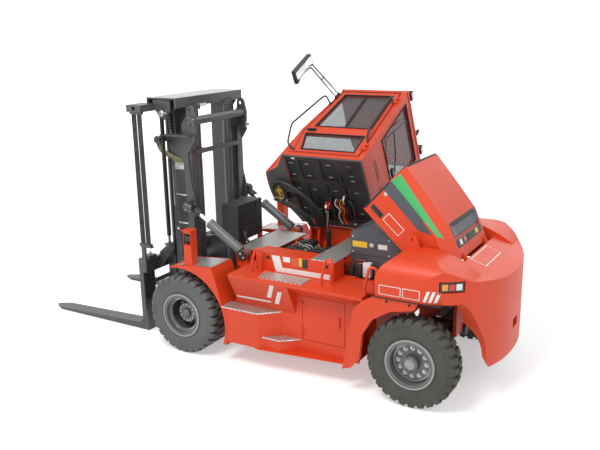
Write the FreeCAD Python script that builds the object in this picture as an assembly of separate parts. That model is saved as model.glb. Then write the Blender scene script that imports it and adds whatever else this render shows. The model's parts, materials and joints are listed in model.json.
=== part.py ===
import FreeCAD, Part
import math
import os
from FreeCAD import Vector

os.makedirs("parts", exist_ok=True)

# Frame: +X towards the fork tips, +Y to the truck's left, +Z up.
# The origin lies on the floor, under the front axle, on the centre plane. All sizes in millimetres.

# ---------------------------------------------------------------- wheels
WHEELBASE = 3130.0
TYRE_RADIUS = 520.0
TYRE_WIDTH = 278.0
TYRE_SHOULDER = 30.0
RIM_RADIUS = 255.0
RIM_WALL = 20.0
RIM_FLANGE = 292.0
RIM_FLANGE_THICKNESS = 14.0
FRONT_TYRE_FACE = 1220.0
TWIN_SPACING = 320.0
REAR_TYRE_FACE = 1188.0
DISC_THICKNESS = 24.0
HUB_RADIUS = 150.0
SPINDLE_RADIUS = 70.0
RUNNING_CLEARANCE = 0.05
SEAT_CLEARANCE = 0.3

# The rear edge of the side walls, which leaves the rear wheel its room.
ARCH_FRONT = -WHEELBASE + TYRE_RADIUS + 170

# ---------------------------------------------------------------- axles and steering
AXLE_TUBE_RADIUS = 105.0
DIFFERENTIAL_RADIUS = 220.0
BRAKE_RADIUS = 190.0
KINGPIN_Y = 800.0
KINGPIN_RADIUS = 34.0
STEER_BEAM_HALF_HEIGHT = 95.0
STEER_BEAM_HALF_DEPTH = 80.0
FORK_GAP = 5.0

# ---------------------------------------------------------------- chassis
DECK_HALF = 1200.0
DECK_TOP = 1200.0
PLATE = 20.0
SKIRT_LIP = 35.0
WALL_Y = 1000.0
FRAME_Y = 540.0
FRAME_WALL = 30.0
FRAME_BOTTOM = 330.0
MAST_PLATE = 18.0
SHELF_Y = 708.0
SHELF_FRONT = 545.0
HOOK_CLEAR = 60.0
FRAME_FRONT = -600.0
FRAME_REAR = -2460.0
REAR_BEAM_Y = 320.0
REAR_BEAM_BOTTOM = 1060.0
STEP_TOP = 760.0
STEP_PLATE = 15.0
DECK_SPLIT = -2200.0
STEP_FRONT = -645.0
BOX_START = -702.0
STEP_BACK = -1170.0
STEP_BACK_INNER = -1391.0
SILL_BOTTOM = 300.0
LOW_STEP_TOP = 450.0
DOOR_FRONT = -1694.0
DOOR_REAR = -2253.0
DOOR_TOP = 1010.0
DOOR_BOTTOM = 460.0
DOOR_THICKNESS = 25.0
DOOR_GAP = 6.0
SERVICE_HINGE_X = DOOR_FRONT + DOOR_GAP / 2
SERVICE_HINGE_Y = 1010.0
SERVICE_HINGES = (559.0, 890.0)
SERVICE_PIN = 5.0
SERVICE_KNUCKLE = 9.0
FRONT_PLATE_Z = 1290.0
BATTERY_FRONT = -2060.0
BOX_FRONT = -957.0
BOX_REAR = -2044.0
BOX_OUTER_Y = 860.0
BOX_INNER_Y = 600.0
BOX_TOP = 1428.0
ARCH_TIP = (143.0, 1143.0)
ARCH_MIDDLE = (-470.0, 975.0)
ARCH_FOOT = (-642.0, 251.0)
FENDER_TOP_REAR = 1235.0
FENDER_INNER_Y = 760.0
LAMP_POST_X = -135.0
LAMP_POST_Y = 1112.0
LAMP_POST_TOP = 1661.0
LAMP_POST_WIDTH = 120.0
RAIL_RADIUS = 16.0

# ---------------------------------------------------------------- counterweight
WEIGHT_FRONT = -2723.0
WEIGHT_REAR = -3950.0
WEIGHT_JOINT = 1255.0
WEIGHT_CROWN = 1704.0
WEIGHT_BOTTOM = 430.0
TAIL_START = -3225.0
LEDGE_FRONT = 1566.0
LEDGE_MIDDLE = 1482.0
LEDGE_REAR = 1405.0
LAMP_X = -3540.0
LAMP_Y = 1072.0
LAMP_TURN = 36.0
LAMP_HALF = 128.0
LAMP_LOW = 1395.0
LAMP_TOP = 1500.0
NOTCH_HALF = 640.0
NOTCH_REAR = -3488.0
NOTCH_FLOOR = 1120.0
TOW_PIN_RADIUS = 25.0
TOW_SLOT_HEIGHT = 110.0
TOW_SLOT_Z = 760.0
TOW_SLOT_DEPTH = 190.0
TOW_PIN_X = WEIGHT_REAR + 75
TOW_PIN_LOW = TOW_SLOT_Z - TOW_SLOT_HEIGHT / 2 - 60
TOW_PIN_TOP = TOW_SLOT_Z + TOW_SLOT_HEIGHT / 2 + 160
EYE_X = -2950.0
EYE_Y = 700.0
EYE_Z = 1800.0
EYE_RADIUS = 20.0

# ---------------------------------------------------------------- mast
RAIL_REAR = 190.0
RAIL_DEPTH = 350.0
RAIL_OUTER_Y = 585.0
RAIL_INNER_Y = 470.0
RAIL_WEB = 28.0
RAIL_FLANGE = 30.0
CLAMP_Z = 2500.0
OUTER_BOTTOM = 180.0
OUTER_TOP = 2770.0
INNER_WEB_Y = 440.0
INNER_WEB = 22.0
INNER_TIP_Y = 545.0
ROLLER_GAP = 15.0
INNER_REAR = RAIL_REAR + RAIL_FLANGE + ROLLER_GAP
INNER_MIDDLE = RAIL_REAR + RAIL_DEPTH - RAIL_FLANGE - ROLLER_GAP
INNER_FRONT = 620.0
INNER_BOTTOM = 200.0
BEAM_REAR = 282.0
BEAM_DEPTH = 480.0
BEAM_HALF = 735.0
BEAM_TOP = 3241.0
BEAM_HEIGHT = 170.0
MAST_PIVOT_Z = TYRE_RADIUS
TILT_PIN = (190.0, 1820.0)
TILT_BASE = (-645.0, 1278.0)
TILT_Y = 645.0
TILT_PIN_RADIUS = 30.0
TILT_EYE_HALF = 28.0
TILT_EYE_HOLE = 40.0
BARREL_RADIUS = 62.0
TILT_ROD_RADIUS = 28.0
LIFT_X = 280.0
LIFT_Y = 345.0
LIFT_BORE = 46.0
LIFT_ROD_RADIUS = 40.0
LIFT_BARREL_TOP = 2880.0
TIE_TUBE = (162.0, 2940.0)
TIE_TUBE_RADIUS = 55.0
EAR_THICKNESS = 30.0
SHEAVE_X = 510.0
SHEAVE_Z = 3044.0
SHEAVE_Y = 672.0
SHEAVE_RADIUS = 88.0
CHEEK = 24.0
CHEEK_OFFSET = 38.0
HOSE_BOX = (640.0, 880.0)
HOSE_BOX_END = 1000.0
CHAIN_WIDTH = 46.0
CHAIN_THICKNESS = 34.0
CHAIN_END_Z = 1384.0
CHAIN_TAIL_X = SHEAVE_X - SHEAVE_RADIUS - SEAT_CLEARANCE
CHAIN_ANCHOR_Z = 2830.0
HOSE_FOOT_Z = 1290.0 + SEAT_CLEARANCE

# ---------------------------------------------------------------- carriage and forks
CARRIAGE_Y = 400.0
CARRIAGE_PLATE = 28.0
BAR_FRONT = 900.0
BAR_DEPTH = 65.0
BAR_HALF = 960.0
UPPER_BAR = (865.0, 1045.0)
LOWER_BAR = (330.0, 470.0)
FORK_CENTRE_Y = 760.0
FORK_WIDTH = 200.0
SHANK_DEPTH = 99.7
SHANK_TOP = 1047.0
FORK_TIP = 2830.0
BLADE_HEEL = 95.0
BLADE_TIP = 30.0

# ---------------------------------------------------------------- cab (sizes when shut)
CAB_HINGE_Y = -509.0
CAB_HINGE_Z = 1423.0
CAB_OPEN = 63.4
CAB_LEFT = 650.0
CAB_RIGHT = -509.0
DRIVER_Y = (CAB_LEFT + CAB_RIGHT) / 2
CAB_FLOOR = 1484.0
CAB_FLOOR_THICKNESS = 60.0
CAB_REAR = -1963.0
CAB_SIDE_FRONT = -801.0
CAB_NOSE = -450.0
CAB_WAIST = 2094.0
CAB_ROOF = 3078.0
CAB_ROOF_THICKNESS = 55.0
CAB_ROOF_FRONT = -986.0
CAB_WALL = 50.0
CAB_PILLAR = 70.0
CAB_POST_FRONT = -812.0
DOOR_HINGES = (1740.0, 2830.0)
GLASS = 10.0
CAB_HINGE_PIN = 20.0
CAB_LUGS = (-1050.0, -1800.0)
CAB_LUG_HALF = 45.0
DOOR_HINGE_X = -1890.5
DOOR_HINGE_Y = CAB_LEFT + 20
DOOR_HINGE_PIN = 6.0
STRUT_X = -1320.0
STRUT_BASE = (-380.0, 1080.0)
STRUT_ARM = 380.0
STRUT_BARREL = 34.0
STRUT_ROD = 17.0
STRUT_PIN = 14.0
STRUT_EYE_HOLE = 38.0

SIDE_WINDOWS = ([(-1795, 1620), (-1030, 1620), (-925, 1975), (-1795, 1975)],
                [(-1808, 2150), (-985, 2150), (-1080, 2950), (-1808, 2950)])
# Openings in the sheet under the cab floor: rear x, front x, inner y, outer y.
UNDERSIDE_HOLES = ((-965, -860, 280, 590), (-1245, -1050, 275, 590), (-1578, -1355, 280, 600),
                   (-1925, -1620, 285, 415), (-1000, -870, -340, 225), (-1260, -1080, -340, 225),
                   (-1590, -1375, -340, 230), (-1925, -1640, -340, 230))

# ---------------------------------------------------------------- hood (sizes when shut)
HOOD_HINGE_X = -3450.0
HOOD_HINGE_Z = 1560.0
HOOD_OPEN = 42.6
HOOD_HINGES = (-380.0, 380.0)
HOOD_EAR = 9.0
HOOD_PIN = 12.0
HOOD_HALF = 612.0
HOOD_TOP_HALF = 490.0
HOOD_BOTTOM = 1148.0
HOOD_WALL = 24.0
HOOD_TOP_LINE = [(-2269.0, 1833.0), (-2732.0, 1771.0), (-3075.0, 1717.0), (-3440.0, 1550.0)]
VENT_HALF = 425.0


# ================================================================ helpers
def block(x0, x1, y0, y1, z0, z1):
    return Part.makeBox(x1 - x0, y1 - y0, z1 - z0, Vector(x0, y0, z0))


def polygon(points):
    return Part.Face(Part.makePolygon(points + points[:1]))


def side_plate(outline, y0, y1):
    """An XZ outline, made solid from y0 to y1."""
    return polygon([Vector(x, y0, z) for x, z in outline]).extrude(Vector(0, y1 - y0, 0))


def floor_plate(outline, z0, z1):
    """An XY outline, made solid from z0 to z1."""
    return polygon([Vector(x, y, z0) for x, y in outline]).extrude(Vector(0, 0, z1 - z0))


def cross_plate(outline, x0, x1):
    """A YZ outline, made solid from x0 to x1."""
    return polygon([Vector(x0, y, z) for y, z in outline]).extrude(Vector(x1 - x0, 0, 0))


def bar(start, end, radius):
    run = end - start
    return Part.makeCylinder(radius, run.Length, start, run)


def pin_y(x, z, y0, y1, radius):
    return Part.makeCylinder(radius, y1 - y0, Vector(x, y0, z), Vector(0, 1, 0))


def turned(profile, x, y, z):
    """A (radius, offset) profile turned about the Y direction, placed at x, y, z."""
    face = polygon([Vector(radius, offset, 0) for radius, offset in profile])
    solid = face.revolve(Vector(0, 0, 0), Vector(0, 1, 0), 360)
    solid.translate(Vector(x, y, z))
    return solid


def bent_tube(points, radius, bend):
    """A round bar along straight runs that are joined by tangent arcs."""
    edges = []
    here = points[0]
    for index in range(1, len(points) - 1):
        corner = points[index]
        back = (points[index - 1] - corner).normalize()
        ahead = (points[index + 1] - corner).normalize()
        half = back.getAngle(ahead) / 2
        reach = bend / math.tan(half)
        middle = (back + ahead).normalize() * (bend / math.sin(half) - bend)
        first = corner + back * reach
        last = corner + ahead * reach
        edges.append(Part.LineSegment(here, first).toShape())
        edges.append(Part.Arc(first, corner + middle, last).toShape())
        here = last
    edges.append(Part.LineSegment(here, points[-1]).toShape())
    run = points[1] - points[0]
    ring = Part.Wire(Part.Circle(points[0], run, radius).toShape())
    return Part.Wire(edges).makePipeShell([ring], True, True)


def join(*shapes):
    return shapes[0].fuse(list(shapes[1:])).removeSplitter()


def mirrored(shape):
    return shape.mirror(Vector(0, 0, 0), Vector(0, 1, 0))


def opened(shape):
    """A cab piece that is modelled shut, swung to its stored, tipped place."""
    moved = shape.copy()
    moved.rotate(Vector(0, CAB_HINGE_Y, CAB_HINGE_Z), Vector(1, 0, 0), CAB_OPEN)
    return moved


def raised(shape):
    """A hood piece that is modelled shut, swung to its stored, raised place."""
    moved = shape.copy()
    moved.rotate(Vector(HOOD_HINGE_X, 0, HOOD_HINGE_Z), Vector(0, -1, 0), HOOD_OPEN)
    return moved


def save(name, *shapes):
    shape = shapes[0] if len(shapes) == 1 else Part.makeCompound(list(shapes))
    shape.exportStep("parts/" + name + ".step")


def save_both(name, *shapes):
    """Left and right copies that share one fixed node."""
    save(name, *shapes, *[mirrored(shape) for shape in shapes])


def save_pair(name, *shapes):
    """The same piece on the left and, mirrored, on the right."""
    save(name + "_left", *shapes)
    save(name + "_right", *[mirrored(shape) for shape in shapes])


# ================================================================ wheels
HALF_TYRE = TYRE_WIDTH / 2
TREAD_HALF = HALF_TYRE - TYRE_SHOULDER
BEAD_HALF = HALF_TYRE - 19
TYRE_PROFILE = [(RIM_RADIUS, -BEAD_HALF), (RIM_FLANGE, -BEAD_HALF), (400, -HALF_TYRE), (480, -HALF_TYRE),
                (TYRE_RADIUS, -TREAD_HALF), (TYRE_RADIUS, TREAD_HALF), (480, HALF_TYRE), (400, HALF_TYRE),
                (RIM_FLANGE, BEAD_HALF), (RIM_RADIUS, BEAD_HALF)]
FRONT_OUTER_Y = FRONT_TYRE_FACE - HALF_TYRE
FRONT_INNER_Y = FRONT_OUTER_Y - TWIN_SPACING
REAR_WHEEL_Y = REAR_TYRE_FACE - HALF_TYRE
RIM_HALF = BEAD_HALF + RIM_FLANGE_THICKNESS


def tyre(x, y):
    return turned(TYRE_PROFILE, x, y, TYRE_RADIUS)


def rim_barrel(x, y):
    barrel = turned([(RIM_RADIUS - RIM_WALL, -RIM_HALF), (RIM_FLANGE, -RIM_HALF), (RIM_FLANGE, -BEAD_HALF),
                     (RIM_RADIUS, -BEAD_HALF), (RIM_RADIUS, BEAD_HALF), (RIM_FLANGE, BEAD_HALF),
                     (RIM_FLANGE, RIM_HALF), (RIM_RADIUS - RIM_WALL, RIM_HALF)], x, y, TYRE_RADIUS)
    return barrel


def front_wheel():
    middle = (FRONT_OUTER_Y + FRONT_INNER_Y) / 2
    gap_half = TWIN_SPACING / 2 - RIM_HALF
    disc = turned([(0, -gap_half), (RIM_RADIUS - 4, -gap_half), (RIM_RADIUS - 4, gap_half), (0, gap_half)],
                  0, middle, TYRE_RADIUS)
    hub_end = FRONT_TYRE_FACE - 150
    hub_start = 640.0
    hub = turned([(0, hub_start), (HUB_RADIUS + 8, hub_start), (HUB_RADIUS + 8, middle), (HUB_RADIUS, middle),
                  (HUB_RADIUS - 12, hub_end - 20), (HUB_RADIUS - 40, hub_end), (0, hub_end)],
                 0, 0, TYRE_RADIUS)
    bore = pin_y(0, TYRE_RADIUS, hub_start - 1, middle - 60, SPINDLE_RADIUS + RUNNING_CLEARANCE)
    return join(rim_barrel(0, FRONT_OUTER_Y), rim_barrel(0, FRONT_INNER_Y), disc, hub).cut(bore)


def rear_wheel():
    inner = KINGPIN_Y + 95
    disc_y = REAR_WHEEL_Y + 40
    disc = turned([(0, disc_y - DISC_THICKNESS), (RIM_RADIUS - 10, disc_y - DISC_THICKNESS),
                   (RIM_RADIUS - 10, disc_y), (0, disc_y)], -WHEELBASE, 0, TYRE_RADIUS)
    hub = turned([(0, inner), (115, inner), (115, disc_y), (92, disc_y), (84, disc_y + 70), (60, disc_y + 85),
                  (0, disc_y + 85)], -WHEELBASE, 0, TYRE_RADIUS)
    bore = pin_y(-WHEELBASE, TYRE_RADIUS, inner - 1, disc_y - 60, SPINDLE_RADIUS + RUNNING_CLEARANCE)
    return join(rim_barrel(-WHEELBASE, REAR_WHEEL_Y), disc, hub).cut(bore)


save_pair("front_tyres", tyre(0, FRONT_OUTER_Y), tyre(0, FRONT_INNER_Y))
save_pair("front_twin_rim", front_wheel())
save_pair("rear_tyre", tyre(-WHEELBASE, REAR_WHEEL_Y))
save_pair("rear_rim", rear_wheel())


# ================================================================ axles
def spindle_y(x, y0, y1):
    return pin_y(x, TYRE_RADIUS, y0, y1, SPINDLE_RADIUS)


def differential(gap):
    """Half of the axle's middle housing, grown by a gap."""
    return turned([(0, 0), (DIFFERENTIAL_RADIUS + gap, 0), (DIFFERENTIAL_RADIUS + gap, 120),
                   (AXLE_TUBE_RADIUS + gap, 330), (0, 330)], 0, 0, TYRE_RADIUS)


def drive_axle():
    tube_end = 600.0
    brake_end = 636.0
    spindle_end = (FRONT_OUTER_Y + FRONT_INNER_Y) / 2 - 70
    half = join(pin_y(0, TYRE_RADIUS, 0, tube_end, AXLE_TUBE_RADIUS),
                differential(0),
                pin_y(0, TYRE_RADIUS, tube_end, brake_end, BRAKE_RADIUS),
                spindle_y(0, brake_end, spindle_end))
    return join(half, mirrored(half))


def drive_motor():
    motor = bar(Vector(-DIFFERENTIAL_RADIUS - SEAT_CLEARANCE, 0, TYRE_RADIUS),
                Vector(-680, 0, TYRE_RADIUS), 165)
    return motor


def steer_axle():
    x = -WHEELBASE
    top = TYRE_RADIUS + STEER_BEAM_HALF_HEIGHT
    low = TYRE_RADIUS - STEER_BEAM_HALF_HEIGHT
    beam_end = KINGPIN_Y - 70
    beam = block(x - STEER_BEAM_HALF_DEPTH, x + STEER_BEAM_HALF_DEPTH, -beam_end, beam_end, low, top)
    trunnion = bar(Vector(x - 260, 0, TYRE_RADIUS + 40), Vector(x + 260, 0, TYRE_RADIUS + 40), 75)
    cylinder = pin_y(x - 130, TYRE_RADIUS, -330, 330, 45)
    foot = block(x - 150, x - STEER_BEAM_HALF_DEPTH, -120, 120, TYRE_RADIUS - 40, TYRE_RADIUS + 40)
    axle = join(beam, trunnion, cylinder, foot)
    for side in (1, -1):
        y0, y1 = sorted((side * beam_end, side * (KINGPIN_Y + 55)))
        upper = block(x - 70, x + 70, y0, y1, TYRE_RADIUS + 90 + FORK_GAP, TYRE_RADIUS + 135)
        lower = block(x - 70, x + 70, y0, y1, TYRE_RADIUS - 135, TYRE_RADIUS - 90 - FORK_GAP)
        inner0, inner1 = sorted((side * (beam_end - 40), side * beam_end))
        web = block(x - 70, x + 70, inner0, inner1, TYRE_RADIUS - 135, TYRE_RADIUS + 135)
        pin = bar(Vector(x, side * KINGPIN_Y, TYRE_RADIUS - 135), Vector(x, side * KINGPIN_Y,
                                                                         TYRE_RADIUS + 135),
                  KINGPIN_RADIUS)
        axle = join(axle, upper, lower, web, pin)
    return axle


def knuckle():
    x = -WHEELBASE
    body = bar(Vector(x, KINGPIN_Y, TYRE_RADIUS - 90), Vector(x, KINGPIN_Y, TYRE_RADIUS + 90), 62)
    flange = block(x - 60, x + 60, KINGPIN_Y, KINGPIN_Y + 75, TYRE_RADIUS - 80, TYRE_RADIUS + 80)
    spindle = spindle_y(x, KINGPIN_Y + 70, REAR_WHEEL_Y - 30)
    bore = bar(Vector(x, KINGPIN_Y, TYRE_RADIUS - 100), Vector(x, KINGPIN_Y, TYRE_RADIUS + 100),
               KINGPIN_RADIUS + RUNNING_CLEARANCE)
    return join(body, flange, spindle).cut(bore)


save("drive_axle", drive_axle())
save("drive_motor", drive_motor())
save("steer_axle", steer_axle())
save_pair("steer_knuckle", knuckle())


# ================================================================ chassis
def tilt_ear(y0, y1):
    x, z = TILT_BASE
    return side_plate([(x - 75, DECK_TOP - PLATE), (x + 55, DECK_TOP - PLATE), (x + 45, z + 32),
                       (x + 15, z + 57),
                       (x - 15, z + 57), (x - 45, z + 32)], y0, y1)


def cab_post(x):
    """A plate that stands on the side wall and holds the cab's hinge pin."""
    outline = [(-FRAME_Y - FRAME_WALL, DECK_TOP - PLATE), (-440, DECK_TOP - PLATE),
               (CAB_HINGE_Y + 39, CAB_HINGE_Z + 27),
               (CAB_HINGE_Y - 40, CAB_HINGE_Z + 27)]
    return cross_plate(outline, x, x + FRAME_WALL)


def frame_wall():
    """One long side of the chassis, with the ears that hold a tilt cylinder."""
    wall_top = DECK_TOP - PLATE
    wall = block(FRAME_REAR, FRAME_FRONT, FRAME_Y, FRAME_Y + FRAME_WALL, FRAME_BOTTOM, wall_top)
    seat = block(-740, -560, FRAME_Y, TILT_Y + 60, 1130, wall_top)
    foot = block(-740, FRAME_FRONT, FRAME_Y, TILT_Y + 60, 1060, 1130)
    gap = TILT_EYE_HALF + FORK_GAP
    pin = pin_y(TILT_BASE[0], TILT_BASE[1], TILT_Y - 60, TILT_Y + 60, TILT_PIN_RADIUS)
    return join(wall, seat, foot, tilt_ear(TILT_Y + gap, TILT_Y + 60), tilt_ear(TILT_Y - 60, TILT_Y - gap),
                pin)


def cab_mounts():
    """The posts and pins that the cab tips on, and the foot of its strut, all on the right wall."""
    pieces = []
    for x in CAB_LUGS:
        low, high = x - CAB_LUG_HALF - FORK_GAP - FRAME_WALL, x + CAB_LUG_HALF + FORK_GAP
        pieces += [cab_post(low), cab_post(high)]
        pieces.append(bar(Vector(low, CAB_HINGE_Y, CAB_HINGE_Z), Vector(high + FRAME_WALL, CAB_HINGE_Y,
                                                                        CAB_HINGE_Z),
                          CAB_HINGE_PIN))
    y, z = STRUT_BASE
    pieces.append(block(STRUT_X - 75, STRUT_X + 75, -FRAME_Y, y + 60, z - 110, z - 60))
    for x in (STRUT_X - 34, STRUT_X + 19):
        pieces.append(cross_plate([(y - 40, z - 60), (y + 40, z - 60), (y + 25, z + 25), (y - 25, z + 25)],
                                  x, x + 15))
    pieces.append(bar(Vector(STRUT_X - 34, y, z), Vector(STRUT_X + 34, y, z), STRUT_PIN))
    return pieces


def frame_cross():
    """The belly with the plates that close the frame, and the arms to the drive axle and the cooler."""
    half_width = FRAME_Y - SEAT_CLEARANCE
    wall_top = DECK_TOP - PLATE
    belly = block(FRAME_REAR, FRAME_FRONT, -half_width, half_width, FRAME_BOTTOM, FRAME_BOTTOM + PLATE)
    front = block(FRAME_FRONT - PLATE, FRAME_FRONT, -half_width, half_width, FRAME_BOTTOM, wall_top)
    back = block(FRAME_REAR, FRAME_REAR + PLATE, -half_width, half_width, FRAME_BOTTOM, NOTCH_FLOOR)
    motor_hole = bar(Vector(FRAME_FRONT + 5, 0, TYRE_RADIUS), Vector(FRAME_FRONT - PLATE - 5, 0,
                                                                     TYRE_RADIUS), 175)
    axle_arm = side_plate([(FRAME_FRONT, 380), (FRAME_FRONT, 1050), (-180, 640), (-90, 640), (-90, 400)],
                          240, 270)
    cooler_leg = block(-300, -240, 250, 290, 640, 1302)
    cooler_arm = block(FRAME_FRONT, -240, 240, 290, 640, 690)
    plate_leg = block(FRAME_FRONT - PLATE, FRAME_FRONT, 400, 440, wall_top, FRONT_PLATE_Z)
    arms = join(axle_arm, cooler_leg, cooler_arm, plate_leg)
    axle = differential(SEAT_CLEARANCE)
    return join(belly, front.cut(motor_hole), back, arms, mirrored(arms)).cut(axle).cut(mirrored(axle))


def rear_frame():
    """Two beams from the frame to the counterweight, with the hangers of the steer axle."""
    beam = block(-3560, FRAME_REAR - SEAT_CLEARANCE, REAR_BEAM_Y, REAR_BEAM_Y + FRAME_WALL, REAR_BEAM_BOTTOM,
                 NOTCH_FLOOR)
    hangers = []
    for offset in (-230, 190):
        x = -WHEELBASE + offset
        hangers.append(block(x, x + 40, -REAR_BEAM_Y, REAR_BEAM_Y, TYRE_RADIUS + 40, REAR_BEAM_BOTTOM + 40))
    trunnion = bar(Vector(-WHEELBASE - 261, 0, TYRE_RADIUS + 40), Vector(-WHEELBASE + 261, 0,
                                                                         TYRE_RADIUS + 40),
                   75 + SEAT_CLEARANCE)
    return join(beam, mirrored(beam), *hangers).cut(trunnion)


def battery_shelf():
    half_width = FRAME_Y - SEAT_CLEARANCE
    return block(BATTERY_FRONT - 60, BATTERY_FRONT - 20, -half_width, half_width, NOTCH_FLOOR - 40,
                 NOTCH_FLOOR)


def fender():
    top_front = (ARCH_TIP[0], ARCH_TIP[1] + 18)
    arch = Part.Arc(Vector(ARCH_TIP[0], 0, ARCH_TIP[1]), Vector(ARCH_MIDDLE[0], 0, ARCH_MIDDLE[1]),
                    Vector(ARCH_FOOT[0], 0, ARCH_FOOT[1])).toShape()
    ledge = STEP_TOP - STEP_PLATE
    outline = [ARCH_FOOT, (BOX_START, ARCH_FOOT[1]), (BOX_START, ledge), (STEP_FRONT, ledge),
               (STEP_FRONT, STEP_TOP),
               (-610, 900), (-540, 1150), (-500, FENDER_TOP_REAR), (-20, 1195), top_front, ARCH_TIP]
    edges = [arch]
    for (x0, z0), (x1, z1) in zip(outline, outline[1:]):
        edges.append(Part.LineSegment(Vector(x0, 0, z0), Vector(x1, 0, z1)).toShape())
    face = Part.Face(Part.Wire(Part.__sortEdges__(edges)))
    solid = face.extrude(Vector(0, DECK_HALF - FENDER_INNER_Y, 0))
    solid.translate(Vector(0, FENDER_INNER_Y, 0))
    return solid


def service_pin(low, high, radius):
    return bar(Vector(SERVICE_HINGE_X, SERVICE_HINGE_Y, low), Vector(SERVICE_HINGE_X, SERVICE_HINGE_Y,
                                                                     high), radius)


def side_panel():
    front_slope = [(DECK_HALF, DECK_TOP), (DECK_HALF, DECK_TOP - SKIRT_LIP), (WALL_Y, STEP_TOP),
                   (WALL_Y - PLATE, STEP_TOP), (WALL_Y - PLATE, DECK_TOP)]
    rear_slope = [(DECK_HALF, DECK_TOP), (DECK_HALF, DECK_TOP - SKIRT_LIP), (WALL_Y, DOOR_TOP + 14),
                  (WALL_Y - PLATE, DOOR_TOP + 14), (WALL_Y - PLATE, DECK_TOP)]
    front = cross_plate(front_slope, -1600, -760)
    rear = cross_plate(rear_slope, ARCH_FRONT - 120, -1600)
    wall = block(ARCH_FRONT, -702, WALL_Y - PLATE, WALL_Y, SILL_BOTTOM, STEP_TOP)
    wall_top = block(ARCH_FRONT, -1600, WALL_Y - PLATE, WALL_Y, STEP_TOP, DOOR_TOP + 14)
    hole = block(DOOR_REAR - DOOR_GAP, DOOR_FRONT + DOOR_GAP, WALL_Y - 2 * PLATE, WALL_Y + PLATE,
                 DOOR_BOTTOM - DOOR_GAP, DOOR_TOP + DOOR_GAP)
    deck = join(block(DECK_SPLIT, -760, FRAME_Y + FRAME_WALL, WALL_Y, DECK_TOP - PLATE, DECK_TOP),
                block(-2720, DECK_SPLIT, NOTCH_HALF, WALL_Y, DECK_TOP - PLATE, DECK_TOP))
    sill = floor_plate([(-702, WALL_Y), (-1157, DECK_HALF), (ARCH_FRONT + 144, 1063),
                        (ARCH_FRONT + 144, WALL_Y - PLATE),
                        (-702, WALL_Y - PLATE)], SILL_BOTTOM - 15, SILL_BOTTOM)
    floor = block(ARCH_FRONT, -702, FRAME_Y + FRAME_WALL, WALL_Y - PLATE, SILL_BOTTOM + 30, SILL_BOTTOM + 42)
    hinges = []
    for z in SERVICE_HINGES:
        hinges.append(service_pin(z - 50, z + 50, SERVICE_PIN))
        for low in (z - 50, z + 30 + SEAT_CLEARANCE):
            high = low + 20 - SEAT_CLEARANCE
            hinges.append(service_pin(low, high, SERVICE_KNUCKLE))
            hinges.append(block(SERVICE_HINGE_X, SERVICE_HINGE_X + 45, WALL_Y - 4, SERVICE_HINGE_Y - 3,
                                low, high))
    return join(join(front, rear, wall, wall_top, deck, sill, floor).cut(hole), *hinges)


def rear_arch():
    """The panel round the rear wheel, set out from the rear axle."""
    rim = [(810, 300), (697, 340), (596, 473), (564, 771), (446, 964), (236, 1098), (-46, 1163), (-80, 1255)]
    outline = [(x - WHEELBASE, z) for x, z in rim]
    outline += [(WEIGHT_FRONT - 8, 1255), (-2640, 1204), (-2560, 1165), (ARCH_FRONT - 16, 1052)]
    return side_plate(outline, DECK_HALF - 60, DECK_HALF)


def step_boxes():
    upper = floor_plate([(BOX_START, WALL_Y), (BOX_START, DECK_HALF - 5), (STEP_BACK, DECK_HALF - 5),
                         (STEP_BACK_INNER, WALL_Y)], SILL_BOTTOM, STEP_TOP - STEP_PLATE)
    lower = floor_plate([(-1205, 1150), (-1450, 1150), (-1640, WALL_Y), (-1391, WALL_Y)],
                        SILL_BOTTOM, LOW_STEP_TOP - STEP_PLATE)
    return join(upper, lower)


def tread_plates():
    upper = floor_plate([(STEP_FRONT, WALL_Y + 1), (STEP_FRONT, DECK_HALF), (STEP_BACK, DECK_HALF),
                         (STEP_BACK_INNER - 4, WALL_Y + 1)], STEP_TOP - STEP_PLATE, STEP_TOP)
    lower = floor_plate([(-1210, 1160), (-1455, 1160), (-1650, WALL_Y + 1), (-1400, WALL_Y + 1)],
                        LOW_STEP_TOP - STEP_PLATE, LOW_STEP_TOP)
    deck = floor_plate([(-1130, 930), (-1180, 1150), (-1770, 1150), (-1770, 930)], DECK_TOP,
                       DECK_TOP + STEP_PLATE)
    return [upper, lower, deck]


def deck_box():
    return block(BOX_REAR, BOX_FRONT, BOX_INNER_Y, BOX_OUTER_Y, DECK_TOP, BOX_TOP)


save("chassis_frame", frame_wall(), join(mirrored(frame_wall()), *cab_mounts()), frame_cross(), rear_frame(),
     battery_shelf())
save_both("side_panels", join(side_panel(), rear_arch(), step_boxes()))
save_both("tread_plates", *tread_plates())
save_both("deck_boxes", deck_box())
save("floor_plates",
     floor_plate([(-2055, -BOX_OUTER_Y), (-2055, BOX_OUTER_Y), (-1740, BOX_OUTER_Y), (-1740, -360),
                  (-1890, -360),
                  (-1890, -BOX_OUTER_Y)], BOX_TOP, BOX_TOP + 12),
     block(-900, -430, -500, 500, FRONT_PLATE_Z, FRONT_PLATE_Z + 12))


def smooth(points):
    curve = Part.BSplineCurve()
    curve.interpolate(Points=points)
    return curve.toShape()


def spline_face(curve, *corners):
    """A face bounded by a smooth curve and by straight lines through further corners, back to its start."""
    first = curve.Vertexes[0].Point
    last = curve.Vertexes[-1].Point
    edges = [curve]
    here = last
    for corner in corners + (first,):
        edges.append(Part.LineSegment(here, corner).toShape())
        here = corner
    return Part.Face(Part.Wire(edges))


def tail_lamp_box(half, depth0, depth1, z0, z1):
    """A block set square to the round tail where the tail lamp sits."""
    solid = block(-half, half, depth0, depth1, z0, z1)
    solid.rotate(Vector(0, 0, 0), Vector(0, 0, 1), LAMP_TURN)
    solid.translate(Vector(LAMP_X, LAMP_Y, 0))
    return solid


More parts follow.
